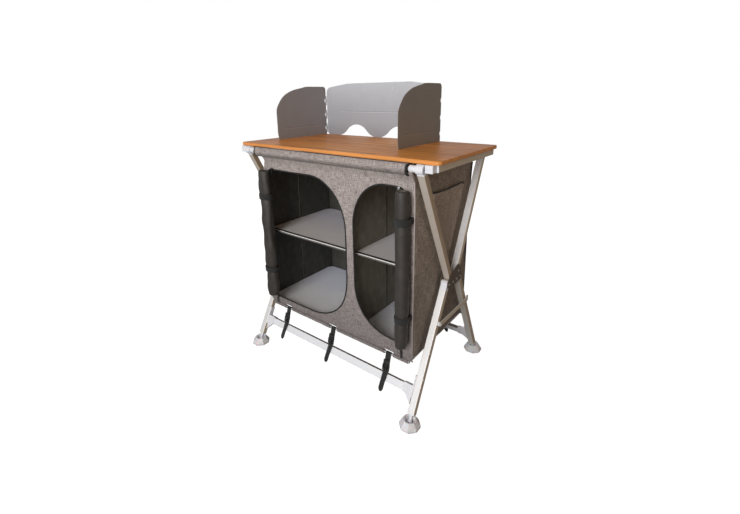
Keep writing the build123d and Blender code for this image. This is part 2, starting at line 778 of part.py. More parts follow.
def make_pockets(side):
    """One half of the open-topped side pockets: 0 is the front half and 1 the rear half."""
    with BuildPart() as pockets:
        with BuildSketch(side_plane(BAG_HALF + CLOTH)):
            with BuildLine():
                Polyline(*pocket_outline(side, 0), close=True)
            make_face()
        extrude(amount=POCKET_SPACE + POCKET_CLOTH)
        with BuildSketch(side_plane(BAG_HALF + CLOTH)):
            with BuildLine():
                Polyline(*pocket_outline(side, POCKET_CLOTH), close=True)
            make_face()
        extrude(amount=POCKET_SPACE, mode=Mode.SUBTRACT)
        mirror(about=Plane.YZ)
    return pockets


ROLL_Y = BAG_FRONT - CLOTH - GAP - ROLL_DEPTH / 2 - ROLL_STANDOFF


def make_rolls():
    """The two rolled-up doors."""
    with BuildPart() as rolls:
        for x, width, (low, high) in zip(ROLL_X, ROLL_WIDTH, ROLL_Z):
            with BuildSketch(Plane.XY.offset(low)):
                with Locations((x, ROLL_Y)):
                    Ellipse(width / 2, ROLL_DEPTH / 2)
            extrude(amount=high - low)
    return rolls


def make_roll_straps():
    """Bands round the rolled doors, with a tab back to the cabinet's corner."""
    with BuildPart() as bands:
        corners = (DOOR_LEFT[0] - ROLL_STRAP / 4, DOOR_RIGHT[1] + ROLL_STRAP / 4)
        face = BAG_FRONT - CLOTH - GAP
        for x, width, heights, corner in zip(ROLL_X, ROLL_WIDTH, ROLL_STRAP_Z, corners):
            for z in heights:
                with BuildSketch(Plane.XY.offset(z)):
                    with Locations((x, ROLL_Y)):
                        Ellipse(width / 2 + GAP + CLOTH, ROLL_DEPTH / 2 + GAP + CLOTH)
                    with Locations((corner, (ROLL_Y + face) / 2)):
                        Rectangle(ROLL_STRAP / 2, face - ROLL_Y)
                    with Locations((x, ROLL_Y)):
                        Ellipse(width / 2 + GAP, ROLL_DEPTH / 2 + GAP, mode=Mode.SUBTRACT)
                extrude(amount=ROLL_STRAP / 2, both=True)
    return bands


def make_zip_sliders():
    """The sliders that wait at the top corners of the door openings."""
    with BuildPart() as sliders:
        y = BAG_FRONT - FRONT_LEAN - GAP - ZIP_SLIDER[1] / 2
        left = (DOOR_LEFT[0] + SLIDER_IN[0], y, DOOR_LEFT_Z[1] + SLIDER_UP[0])
        right = (DOOR_RIGHT[1] - SLIDER_IN[1], y, DOOR_RIGHT_Z[1] + SLIDER_UP[1])
        with Locations(left, right):
            Box(*ZIP_SLIDER)
        fillet(sliders.edges().filter_by(Axis.Y), 2)
    return sliders


def bar_front(end, pivot, clear):
    """Two points down the outer face of a cross bar, clear of it."""
    side = -1 if end[0] > 0 else 1
    out = BAR_DEPTH / 2 + clear
    upper = along(pivot, end, BAR_ALONG - BAR_HEIGHT / 2 - LEG_CORNER - 1, -side * out)
    lower = along(pivot, end, BAR_ALONG + BAR_HEIGHT / 2 + 1, -side * out)
    return upper, lower


def make_straps(end, pivot, hem_y):
    """Three straps, looped round the hem rod and led down over the cross bar's outer face, with a tail."""
    outward = -1 if end[0] < 0 else 1
    upper, lower = bar_front(end, pivot, GAP)
    tail = (outward * STRAP_END[0], STRAP_END[1])
    loop = HEM_ROD / 2 + GAP
    start = (hem_y + outward * (loop + STRAP_THICK / 2), HEM_Z - 1)
    line = [start, upper, lower, tail]
    with BuildPart() as straps:
        for x in STRAP_X:
            with BuildSketch(Plane(origin=(x, 0, 0), x_dir=(0, 1, 0), z_dir=(1, 0, 0))):
                with BuildLine():
                    outer = [(y + outward * STRAP_THICK, z) for y, z in reversed(line)]
                    Polyline(*line, *outer, close=True)
                make_face()
                with Locations((hem_y, HEM_Z)):
                    Circle(loop + STRAP_THICK)
                    Circle(loop, mode=Mode.SUBTRACT)
            extrude(amount=STRAP_WIDTH / 2, both=True)
    return straps


def make_buckles(end, pivot, hem_y):
    """Side-release buckles, flat on the outer faces of the straps between hem and bar."""
    outward = -1 if end[0] < 0 else 1
    upper, _ = bar_front(end, pivot, GAP)
    start = (hem_y + outward * (HEM_ROD / 2 + GAP + STRAP_THICK / 2), HEM_Z - 1)
    length = hypot(upper[0] - start[0], upper[1] - start[1])
    dy, dz = (upper[0] - start[0]) / length, (upper[1] - start[1]) / length
    out = STRAP_THICK / abs(dz) + GAP + BUCKLE[1] / 2
    y, z = start[0] + dy * length * BUCKLE_DOWN, start[1] + dz * length * BUCKLE_DOWN
    with BuildPart() as buckles:
        for x in STRAP_X:
            face = Plane(origin=(x, y + outward * out, z), x_dir=(1, 0, 0), z_dir=(0, dz, -dy))
            with BuildSketch(face):
                RectangleRounded(BUCKLE[0], BUCKLE[2], BUCKLE_CORNER)
            extrude(amount=BUCKLE[1] / 2, both=True)
    return buckles


def make_boards(top, thick, front, back):
    """A left and a right board, each between a side panel and the dividing wall."""
    left = (-PANEL_EDGE, DIVIDER_X - CLOTH / 2 - GAP)
    right = (DIVIDER_X + CLOTH / 2 + GAP, PANEL_EDGE)
    with BuildPart() as boards:
        with BuildSketch(Plane.XY.offset(top - thick)) as outline:
            for x0, x1 in (left, right):
                with Locations(((x0 + x1) / 2, (front + back) / 2)):
                    Rectangle(x1 - x0, back - front)
            fillet(outline.vertices().group_by(Axis.Y)[0], BOARD_CORNER)
            fillet(outline.vertices().group_by(Axis.Y)[-1], BOARD_BACK_CORNER)
        extrude(amount=thick)
    return boards


def make_profiles():
    """Aluminium edging along the fronts of the shelves."""
    short = GAP + PROFILE_SHORT
    left = (-PANEL_EDGE + PROFILE_SHORT, DIVIDER_X - CLOTH / 2 - short)
    right = (DIVIDER_X + CLOTH / 2 + short, PANEL_EDGE - PROFILE_SHORT)
    low = SHELF_TOP - SHELF_THICK - PROFILE_LIP
    with BuildPart() as profiles:
        for x0, x1 in (left, right):
            with BuildSketch(Plane(origin=((x0 + x1) / 2, 0, 0), x_dir=(0, 1, 0), z_dir=(1, 0, 0))):
                with Locations((SHELF_FRONT + PROFILE_DEPTH / 2 - PROFILE_WALL, low + PROFILE_HEIGHT / 2)):
                    Rectangle(PROFILE_DEPTH, PROFILE_HEIGHT)
                with Locations((SHELF_FRONT + PROFILE_DEPTH, SHELF_TOP - SHELF_THICK / 2)):
                    Rectangle(2 * PROFILE_DEPTH, SHELF_THICK, mode=Mode.SUBTRACT)
            extrude(amount=(x1 - x0) / 2, both=True)
    return profiles


def make_hem_rod(y):
    """The thin tube in a bottom hem."""
    with BuildPart() as rod:
        with BuildSketch(Plane.YZ):
            with Locations((y, HEM_Z)):
                Circle(HEM_ROD / 2)
                Circle(HEM_ROD / 2 - 1, mode=Mode.SUBTRACT)
        extrude(amount=HEM_HALF, both=True)
    return rod


GUARD_FOOT = TOP_HEIGHT + REST
HINGE_OFFSET = KNUCKLE_TUBE / 2
WING_X = (GUARD_MIDDLE - GUARD_WIDTH / 2, GUARD_MIDDLE + GUARD_WIDTH / 2)
PIN_X = (WING_X[0] + HINGE_OFFSET, WING_X[1] - HINGE_OFFSET)
PIN_Y = GUARD_Y - HINGE_OFFSET


def make_guard_back():
    """The back sheet of the wind guard, arched at the foot, with the middle knuckle of each hinge."""
    half = GUARD_WIDTH / 2 - HINGE_OFFSET - HINGE_SETBACK
    with BuildPart() as back:
        face = Plane(origin=(GUARD_MIDDLE, GUARD_Y, 0), x_dir=(1, 0, 0), z_dir=(0, -1, 0))
        with BuildSketch(face) as sheet:
            with BuildLine():
                Polyline(
                    (-half, GUARD_FOOT),
                    (-half, GUARD_SIDE_TOP),
                    (-GUARD_FLAT, GUARD_PEAK),
                    (GUARD_FLAT, GUARD_PEAK),
                    (half, GUARD_SIDE_TOP),
                    (half, GUARD_FOOT),
                    close=True,
                )
            make_face()
            fillet(sheet.vertices().group_by(Axis.Y)[0], GUARD_HEEL)
            fillet(sheet.vertices().group_by(Axis.Y)[-1], GUARD_BEND)
            fillet(sheet.vertices().sort_by_distance((-half, GUARD_SIDE_TOP))[0], GUARD_ROUND)
            fillet(sheet.vertices().sort_by_distance((half, GUARD_SIDE_TOP))[0], GUARD_ROUND)
            for middle in (-ARCH_MIDDLE, ARCH_MIDDLE):
                with BuildLine():
                    for side in (-1, 1):
                        flank = (middle + side * ARCH_FLANK[0], GUARD_FOOT + ARCH_FLANK[1])
                        crown = TangentArc((middle, GUARD_FOOT + ARCH_RISE), flank, tangent=(side, 0))
                        TangentArc(flank, (middle + side * ARCH_HALF, GUARD_FOOT), tangent=crown % 1)
                    Line((middle - ARCH_HALF, GUARD_FOOT), (middle + ARCH_HALF, GUARD_FOOT))
                make_face(mode=Mode.SUBTRACT)
            slit_x = ARCH_MIDDLE - SLIT_IN
            with Locations((-slit_x, GUARD_PEAK - SLIT_DOWN), (slit_x, GUARD_PEAK - SLIT_DOWN)):
                SlotOverall(*SLIT, rotation=90, mode=Mode.SUBTRACT)
        extrude(amount=GUARD_SHEET / 2, both=True)
        with BuildSketch(Plane.YZ.offset(GUARD_MIDDLE)):
            with Locations((GUARD_Y, TOP_HEIGHT + BACK_RIB[1])):
                Circle(RIB / 2)
        extrude(amount=BACK_RIB[0], both=True)
        for x, inward in zip(PIN_X, (1, -1)):
            for z in HINGE_Z:
                leaf = ((x, GUARD_Y), (x + inward * (HINGE_SETBACK + 1), GUARD_Y))
                knuckle(x, z, leaf)
    return back


def knuckle(x, z, leaf):
    """A hinge tube round a pin, with the leaf that runs from it to its sheet."""
    (x0, y0), (x1, y1) = leaf
    with BuildSketch(Plane.XY.offset(z)) as section:
        with Locations((x, PIN_Y)):
            Circle(KNUCKLE_TUBE / 2)
        with Locations(((x0 + x1) / 2, (y0 + y1) / 2)):
            Rectangle(max(abs(x1 - x0), GUARD_SHEET), max(abs(y1 - y0), GUARD_SHEET))
    extrude(section.sketch, amount=KNUCKLE_LENGTH / 2, both=True)
    with BuildSketch(Plane.XY.offset(z)) as bore:
        with Locations((x, PIN_Y)):
            Circle(HINGE_PIN / 2 + GAP)
    extrude(bore.sketch, amount=KNUCKLE_LENGTH, both=True, mode=Mode.SUBTRACT)


def make_wing(x, pin_x):
    """One wing of the wind guard, with the knuckles that stand above and below the back's."""
    rear = GUARD_Y
    notch = PIN_Y - HINGE_SETBACK
    front = GUARD_Y - WING_FOOT
    nose = GUARD_Y - WING_LENGTH
    chin, brow = [(nose, GUARD_FOOT + height) for height in NOSE]
    foot_curve = (nose + FOOT_CURVE[0], GUARD_FOOT + FOOT_CURVE[1])
    nose_curve = [(nose + back, GUARD_FOOT + height) for back, height in NOSE_CURVE]
    crest = (nose + NECK_LENGTH, GUARD_FOOT + WING_HEIGHT)
    heel = (rear, GUARD_FOOT + WING_HEIGHT)
    with BuildPart() as wing:
        with BuildSketch(side_plane(x)) as sheet:
            with BuildLine():
                Line((rear, GUARD_FOOT), (front, GUARD_FOOT))
                ThreePointArc((front, GUARD_FOOT), foot_curve, chin)
                Line(chin, brow)
                Spline(brow, *nose_curve, crest, tangents=((0, 1), (1, 0)))
                Polyline(crest, heel, (rear, GUARD_FOOT))
            make_face()
            fillet(sheet.vertices().sort_by_distance(heel)[0], WING_ROUND)
            with Locations(*[(rear, z) for z in HINGE_Z]):
                Rectangle(2 * (rear - notch), KNUCKLE_LENGTH + 2 * GAP, mode=Mode.SUBTRACT)
        extrude(amount=GUARD_SHEET / 2, both=True)
        with BuildSketch(Plane.XZ.offset(WING_RIB[0] - notch)):
            with Locations((x, TOP_HEIGHT + WING_RIB[2])):
                Circle(RIB / 2)
        extrude(amount=WING_RIB[1])
        for z in HINGE_Z:
            for offset in (-KNUCKLE_LENGTH - GAP, KNUCKLE_LENGTH + GAP):
                knuckle(pin_x, z + offset, ((x, PIN_Y), (x, notch - 1)))
    return wing


def make_guard_pins():
    """The wire pins of the guard's hinges."""
    reach = 1.5 * KNUCKLE_LENGTH + GAP + 1
    with BuildPart() as pins:
        for z in HINGE_Z:
            with BuildSketch(Plane.XY.offset(z - reach)):
                with Locations(*[(x, PIN_Y) for x in PIN_X]):
                    Circle(HINGE_PIN / 2)
            extrude(amount=2 * reach)
            with BuildSketch(Plane.XY.offset(z + reach)):
                with Locations(*[(x, PIN_Y) for x in PIN_X]):
                    Circle(HINGE_PIN / 2 + GAP)
            extrude(amount=1)
    return pins


REAR_UPPER_LENGTH = upper_length(REAR_UPPER, REAR_TOP)
FRONT_UPPER_LENGTH = upper_length(FRONT_UPPER, FRONT_TOP)
REAR_LOWER_LENGTH = lower_length(REAR_LOWER, REAR_TOE)
FRONT_LOWER_LENGTH = lower_length(FRONT_LOWER, FRONT_TOE)
pieces = {
    "table_top": make_top(),
    "side_rails": make_rails(),
    "rail_end_caps": make_rail_caps(),
    "latch_blocks": make_latches(),
    "guard_back": make_guard_back(),
    "guard_wing_left": make_wing(WING_X[0], PIN_X[0]),
    "guard_wing_right": make_wing(WING_X[1], PIN_X[1]),
    "guard_hinge_pins": make_guard_pins(),
    "rear_top_tube": make_tube(TUBE_Y),
    "rear_tees": make_tee(REAR_TOP, REAR_UPPER),
    "upper_rear_legs": make_leg(REAR_UPPER, REAR_TOP, REAR_UPPER_LENGTH, (0, EXTRA_RIVET)),
    "pivot_plates": make_plates(),
    "plate_rivets": make_rivets(),
    "front_top_tube": make_tube(-TUBE_Y),
    "front_tees": make_tee(FRONT_TOP, FRONT_UPPER),
    "upper_front_legs": make_leg(FRONT_UPPER, FRONT_TOP, FRONT_UPPER_LENGTH, (0,)),
    "lower_front_legs": make_leg(FRONT_LOWER, FRONT_TOE, FRONT_LOWER_LENGTH, (0,)),
    "front_knuckle_plugs": make_knuckles(FRONT_LOWER, FRONT_TOE),
    "front_cross_bar": make_bar(FRONT_TOE, FRONT_LOWER),
    "front_bar_brackets": make_bracket(FRONT_TOE, FRONT_LOWER),
    "front_bar_screws": make_screws(FRONT_TOE, FRONT_LOWER),
    "front_foot_stems": make_stems(FRONT_TOE, FRONT_LOWER),
    "brace_bushes": make_bushes(),
    "side_braces": make_braces(),
    "lower_rear_legs": make_leg(REAR_LOWER, REAR_TOE, REAR_LOWER_LENGTH, (0,)),
    "rear_knuckle_plugs": make_knuckles(REAR_LOWER, REAR_TOE),
    "rear_cross_bar": make_bar(REAR_TOE, REAR_LOWER),
    "rear_bar_brackets": make_bracket(REAR_TOE, REAR_LOWER),
    "rear_bar_screws": make_screws(REAR_TOE, REAR_LOWER),
    "rear_foot_stems": make_stems(REAR_TOE, REAR_LOWER),
    "foot_pad_front_left": make_pad(-LEG_PLANE, -TOE_SPREAD),
    "foot_pad_front_right": make_pad(LEG_PLANE, -TOE_SPREAD),
    "foot_pad_rear_left": make_pad(-LEG_PLANE, TOE_SPREAD),
    "foot_pad_rear_right": make_pad(LEG_PLANE, TOE_SPREAD),
    "bag_front_panel": make_front_panel(),
    "bag_front_sleeve": make_sleeve(-TUBE_Y),
    "bag_back_panel": make_back_panel(),
    "bag_back_sleeve": make_sleeve(TUBE_Y),
    "bag_sides_front": make_sides(SIDE_FRONT),
    "bag_sides_back": make_sides(SIDE_BACK),
    "bag_wall_front": make_wall(BAG_FRONT + 4, SEAM_Y - GAP),
    "bag_wall_back": make_wall(SEAM_Y, BAG_BACK - 1),
    "bag_floor_front": make_bag_floor(BAG_FRONT + 3, SEAM_Y - GAP),
    "bag_floor_back": make_bag_floor(SEAM_Y, BAG_BACK - 2),
    "side_pockets_front": make_pockets(0),
    "side_pockets_back": make_pockets(1),
    "door_rolls": make_rolls(),
    "roll_straps": make_roll_straps(),
    "zip_sliders": make_zip_sliders(),
    "front_straps": make_straps(FRONT_TOE, FRONT_LOWER, HEM_FRONT_Y),
    "rear_straps": make_straps(REAR_TOE, REAR_LOWER, HEM_BACK_Y),
    "front_strap_buckles": make_buckles(FRONT_TOE, FRONT_LOWER, HEM_FRONT_Y),
    "rear_strap_buckles": make_buckles(REAR_TOE, REAR_LOWER, HEM_BACK_Y),
    "shelf_boards": make_boards(SHELF_TOP, SHELF_THICK, SHELF_FRONT, SHELF_BACK),
    "shelf_profiles": make_profiles(),
    "floor_boards": make_boards(FLOOR_TOP, FLOOR_THICK, FLOOR_FRONT, FLOOR_BACK),
    "front_hem_rod": make_hem_rod(HEM_FRONT_Y),
    "rear_hem_rod": make_hem_rod(HEM_BACK_Y),
}

os.makedirs("parts", exist_ok=True)
for name, piece in pieces.items():
    piece.part.label = name
    export_step(piece.part, f"parts/{name}.step")
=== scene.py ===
"""Folding camp kitchen: the looks of the bamboo top, the folding legs, the cloth cabinet and the wind guard.

Lengths in the modelling functions are millimetres, with X to the right, Y to the back and Z up.
A finished mesh is scaled to metres as it becomes an object.

Several finishes carry painted light and shade, tints that aren't the real colours: all that is named a TINT
below, the cloth's painted shade by height and on round tubes, the coated cloth's painted sheen, and a rib's
painted highlight and shade.
"""

import math

import bmesh
import bpy
from mathutils import Matrix, Vector, kdtree, noise


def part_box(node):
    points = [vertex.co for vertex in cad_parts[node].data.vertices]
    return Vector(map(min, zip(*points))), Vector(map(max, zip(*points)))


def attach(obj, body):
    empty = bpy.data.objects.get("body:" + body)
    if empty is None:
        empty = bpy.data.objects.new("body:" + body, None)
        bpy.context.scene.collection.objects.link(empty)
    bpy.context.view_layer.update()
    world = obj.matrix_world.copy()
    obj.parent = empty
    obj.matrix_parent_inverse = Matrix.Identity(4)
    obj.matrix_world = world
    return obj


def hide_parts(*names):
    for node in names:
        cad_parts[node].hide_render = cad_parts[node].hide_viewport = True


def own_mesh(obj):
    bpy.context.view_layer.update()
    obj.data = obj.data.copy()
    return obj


bl_info = {
    "name": "Folding camp kitchen",
    "version": (1, 0, 0),
    "blender": (4, 5, 0),
    "location": "View3D > Sidebar > Camp kitchen",
    "description": "Dresses a folding camp kitchen in cloth, bamboo, aluminium and plastic",
    "category": "Object",
}

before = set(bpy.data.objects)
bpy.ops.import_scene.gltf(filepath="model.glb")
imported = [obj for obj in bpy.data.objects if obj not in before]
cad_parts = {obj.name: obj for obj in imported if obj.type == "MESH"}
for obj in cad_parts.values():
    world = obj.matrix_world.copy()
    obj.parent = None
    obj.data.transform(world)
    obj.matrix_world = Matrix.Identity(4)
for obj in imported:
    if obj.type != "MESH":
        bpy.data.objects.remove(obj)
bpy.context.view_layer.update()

MM = 0.001
ENDS = (("front", -1), ("rear", 1))
SIDES = (("left", -1), ("right", 1))
CAD_END = {"front": "front", "rear": "back"}

PIVOT_HEIGHT = 388
PLUG_RISE = 17
PIVOTS = {"front_lower": -33.5, "front_upper": -7.0, "rear_upper": 19.5, "rear_lower": 46.0}
TUBE_Y = 200
TUBE_Z = 775.2
TOE_Y = 232
TOE_Z = 14

BAG_HALF = 326.7
BAG_FRONT = -182.6
BAG_BACK = 171.6
BAG_TOP = 745
BAG_LOW = 174
HEM_Z = 168
HEM_RADIUS = 6.3
HEM_HALF = 309
HEM_Y = {"front": -174, "rear": 169}
STRAP_X = (-229, 2, 238)
STRAP_GAP = 17
STRAP_GAP_RISE = 9
STRAP_LEAN = {"front": (-16, -14, -10), "rear": (-9, 4, 12)}
DIVIDER_X = 93
SEAM_Y = -5
LAP = 25
TOP_SEAM = 754
FOOT_SEAM = 187
CALM_HIGH = 752
CALM_LOW = 178
SLEEVE_CEILING = 788.85
RING_CEILING = 786.2
POST_SEAM_X = 92
SEAM_INSET = 6
CORNER_INSET = 9
STITCH_THICK = 0.45
CORNER_STEPS = 18

KEY_PLACE = (0.55, -2.8, 1.3)
KEY_TARGET = (0.0, 0.0, 0.5)
KEY_SIZE = (1.3, 1.9)
SKY_LEFT = (1.05, 1.07, 1.12, 1)
SKY_RIGHT = (0.74, 0.58, 0.43, 1)
SKY_GLOSS = 1.7
FLOOR_RADIUS = 6000
PHOTO_WIDTH = 740
PHOTO_HEIGHT = 514
CAMERA = {
    "azimuth": 37.642,
    "elevation": 15.578,
    "roll": -0.716,
    "place": (0.848055, -1.060274, 0.959514),
    "focal": 392.134,
    "centre": (369.14, 204.43),
    "sensor": 36.0,
}

# Tints that imitate the photograph's light, at places in millimetres along an axis.
BAMBOO_TINTS = (
    "X", (-405, (1.12, 0.95, 0.74)), (-100, (1.2, 1.1, 0.95)), (70, (1.42, 1.42, 1.45)),
    (230, (1.15, 1.05, 0.85)), (405, (1.06, 0.92, 0.52)),
)
LINING_TINTS = ("X", (86, (0.85, 0.9, 0.9)), (94, (3.4, 3.3, 3.0)))
GUARD_TINTS = ("Z", (810, (0.80, 0.80, 0.81)), (900, (0.98, 0.98, 0.98)), (1000, (1.26, 1.25, 1.22)))
WING_TINTS = ("X", (-342, (1.0, 1.03, 1.05)), (195, (0.84, 0.81, 0.72)))
BOARD_TINTS = (
    "Y", (-180, (0.84, 0.81, 0.77)), (-60, (1.04, 1.03, 1.03)), (60, (1.10, 1.12, 1.22)),
    (170, (1.0, 1.03, 1.16)),
)
# Painted light and shade: tints of whole pieces, of the faces that look sideways, and a painted shadow on the
# faces that look up.
WING_TINT = (0.625, 0.557, 0.52)
LEG_TINTS = {
    "upper_front_legs": (0.92, 0.83, 0.76),
    "upper_rear_legs": (1.32, 1.36, 1.44),
    "lower_front_legs": (1.18, 1.20, 1.24),
    "lower_rear_legs": (1.0, 0.97, 0.93),
}
LEG_SIDE_TINT = (0.80, 0.68, 0.53)
BRACE_SIDE_TINT = (0.95, 0.83, 0.66)
BAMBOO_EDGE_TINT = (0.98, 0.86, 0.98, 1)
CROSS_BAR_TINT = (1.22, 1.27, 1.38)
TOP_SHADOW_TINT = (0.13, 0.09, 0.055, 1)
SIDE_CLOTH_TINT = (0.87, 0.80, 0.67)
POCKET_TINT = (0.90, 0.81, 0.68)


class CampKitchenSizes(bpy.types.PropertyGroup):
    """Sizes of the cloth, its trims and the lights."""

    cloth_cell: bpy.props.FloatProperty(
        name="Cloth cell", description="Side of one quad of a cloth piece", default=0.005, unit="LENGTH"
    )
    cloth_thick: bpy.props.FloatProperty(
        name="Cloth thickness", description="Thickness of the cabinet's cloth", default=0.0012, unit="LENGTH"
    )
    fold_depth: bpy.props.FloatProperty(
        name="Fold depth", description="How far the cloth's soft folds swell", default=0.0022, unit="LENGTH"
    )
    piping: bpy.props.FloatProperty(
        name="Piping radius", description="Radius of the doors' binding", default=0.0024, unit="LENGTH"
    )
    stitch: bpy.props.FloatProperty(
        name="Stitch pitch", description="Distance from one stitch to the next", default=0.0045, unit="LENGTH"
    )
    strap_width: bpy.props.FloatProperty(
        name="Strap width", description="Width of the webbing straps", default=0.020, unit="LENGTH"
    )
    key_power: bpy.props.FloatProperty(
        name="Key light", description="Power of the large lamp ahead", default=58.0, unit="POWER"
    )
    room_light: bpy.props.FloatProperty(
        name="Room light", description="Strength of the even light from all round", default=0.34
    )


def colour_property(name, description, default):
    """A colour that a user can change."""
    return bpy.props.FloatVectorProperty(
        name=name, description=description, default=default, subtype="COLOR", size=3, min=0.0, max=1.0
    )


class CampKitchenColours(bpy.types.PropertyGroup):
    """Colours of the finishes, as linear values."""

    bamboo: colour_property("Bamboo", "Middle colour of the bamboo strips", (0.80, 0.345, 0.09))
    bamboo_dark: colour_property("Bamboo streaks", "Colour of the darker streaks", (0.42, 0.14, 0.034))
    cloth_light: colour_property("Light thread", "Lighter thread of the melange cloth", (0.54, 0.475, 0.455))
    cloth_dark: colour_property("Dark thread", "Darker thread of the melange cloth", (0.150, 0.118, 0.105))
    lining: colour_property("Lining", "Coated black inside of the cabinet", (0.058, 0.054, 0.046))
    roll: colour_property("Rolled door", "Charcoal outside of the rolled doors", (0.034, 0.029, 0.0245))
    webbing: colour_property("Webbing", "Black straps and binding", (0.012, 0.012, 0.012))
    aluminium: colour_property("Aluminium", "Satin leg tubes", (0.74, 0.72, 0.69))
    plastic: colour_property("White plastic", "Moulded joints and caps", (0.85, 0.85, 0.89))
    foot: colour_property("Foot plastic", "Greyish foot pads", (0.80, 0.78, 0.80))
    plate: colour_property("Pivot plate", "Brown-grey coated plates", (0.125, 0.090, 0.062))
    guard: colour_property("Wind guard", "Satin sheet of the wind guard", (0.505, 0.535, 0.585))
    board: colour_property("Boards", "Light grey laminate of the shelves", (0.97, 0.97, 1.0))


def sizes():
    """The sizes that a user can change."""
    return bpy.context.scene.camp_kitchen_sizes


def colours():
    """The colours that a user can change."""
    return bpy.context.scene.camp_kitchen_colours


def rgba(colour, factor=1.0):
    """A colour with full cover, made lighter or darker by a factor."""
    return tuple(min(1.0, channel * factor) for channel in colour) + (1.0,)


def shade(colour, factors):
    """A colour with each of its channels multiplied."""
    return tuple(channel * factor for channel, factor in zip(colour, factors))


class Nodes:
    """A material's node tree, with short calls that add nodes and feed them."""

    def __init__(self, name, **shader):
        self.material = bpy.data.materials.new(name)
        self.material.use_nodes = True
        self.tree = self.material.node_tree
        self.tree.nodes.clear()
        output = self.tree.nodes.new("ShaderNodeOutputMaterial")
        self.shader = self.add("BsdfPrincipled", {})
        for socket, value in shader.items():
            self.shader.inputs[socket.replace("_", " ")].default_value = value
        self.tree.links.new(self.shader.outputs[0], output.inputs[0])

    def add(self, kind, inputs, **settings):
        """A node of a kind, set up, with its sockets fed by values or by other nodes' outputs."""
        node = self.tree.nodes.new("ShaderNode" + kind)
        for name, value in settings.items():
            setattr(node, name, value)
        for socket, value in inputs.items():
            if isinstance(value, bpy.types.NodeSocket):
                self.tree.links.new(value, node.inputs[socket])
            else:
                node.inputs[socket].default_value = value
        return node

    def feed(self, socket, value):
        """Feeds one of the shader's sockets."""
        self.tree.links.new(value, self.shader.inputs[socket])

    def place(self, scale=(1, 1, 1), turn=(0, 0, 0), uv=False):
        """Coordinates of a point on the piece in millimetres, turned and then scaled."""
        if uv:
            source = self.add("UVMap", {}, uv_map="cloth").outputs[0]
        else:
            source = self.add("TexCoord", {}).outputs["Object"]
        per_mm = [1000 * factor for factor in scale]
        return self.add("Mapping", {"Vector": source, "Rotation": turn, "Scale": per_mm}).outputs[0]

    def noise(self, where, scale=1.0, detail=3.0, rough=0.55, distort=0.0):
        """Soft noise from 0 to 1."""
        inputs = {"Vector": where, "Scale": scale, "Detail": detail}
        return self.add("TexNoise", {**inputs, "Roughness": rough, "Distortion": distort}).outputs[0]

    def ramp(self, factor, *stops):
        """A colour, or a grey value, from a row of stops."""
        node = self.add("ValToRGB", {0: factor})
        elements = node.color_ramp.elements
        while len(elements) < len(stops):
            elements.new(0.5)
        for element, (position, value) in zip(elements, stops):
            element.position = position
            element.color = value if isinstance(value, tuple) else (value, value, value, 1.0)
        return node.outputs[0]

    def mix(self, factor, one, two, blend="MIX"):
        """A mix of two colours."""
        node = self.add("Mix", {}, data_type="RGBA", blend_type=blend)
        for socket, value in ((node.inputs[0], factor), (node.inputs[6], one), (node.inputs[7], two)):
            if isinstance(value, bpy.types.NodeSocket):
                self.tree.links.new(value, socket)
            else:
                socket.default_value = value
        return node.outputs[2]

    def math(self, operation, one, two=0.0):
        """One arithmetic step."""
        return self.add("Math", {0: one, 1: two}, operation=operation).outputs[0]

    def bump(self, *heights):
        """Bumps, each a height from 0 to 1 and its depth in millimetres, laid one over the other."""
        normal = None
        for height, depth in heights:
            inputs = {"Height": height, "Distance": depth * MM, "Strength": 1.0}
            if normal is not None:
                inputs["Normal"] = normal
            normal = self.add("Bump", inputs).outputs[0]
        self.feed("Normal", normal)

    def axis(self, where, name):
        """One of the three parts of a coordinate."""
        return self.add("SeparateXYZ", {0: where}).outputs[name]

    def facing(self, name):
        """How much the surface faces along one of the piece's own axes, from -1 to 1."""
        return self.axis(self.add("TexCoord", {}).outputs["Normal"], name)

    def paint_light_and_shade(self, tone, along, *stops):
        """Paints light and shade onto a colour by multiplying it by tints, each given with its place in
        millimetres along an axis.
        """
        start, reach = stops[0][0], stops[-1][0] - stops[0][0]
        share = self.math("DIVIDE", self.math("SUBTRACT", self.axis(self.place(), along), start), reach)
        tints = self.ramp(share, *(((place - start) / reach, (*tint, 1.0)) for place, tint in stops))
        return self.mix(1.0, tone, tints, "MULTIPLY")


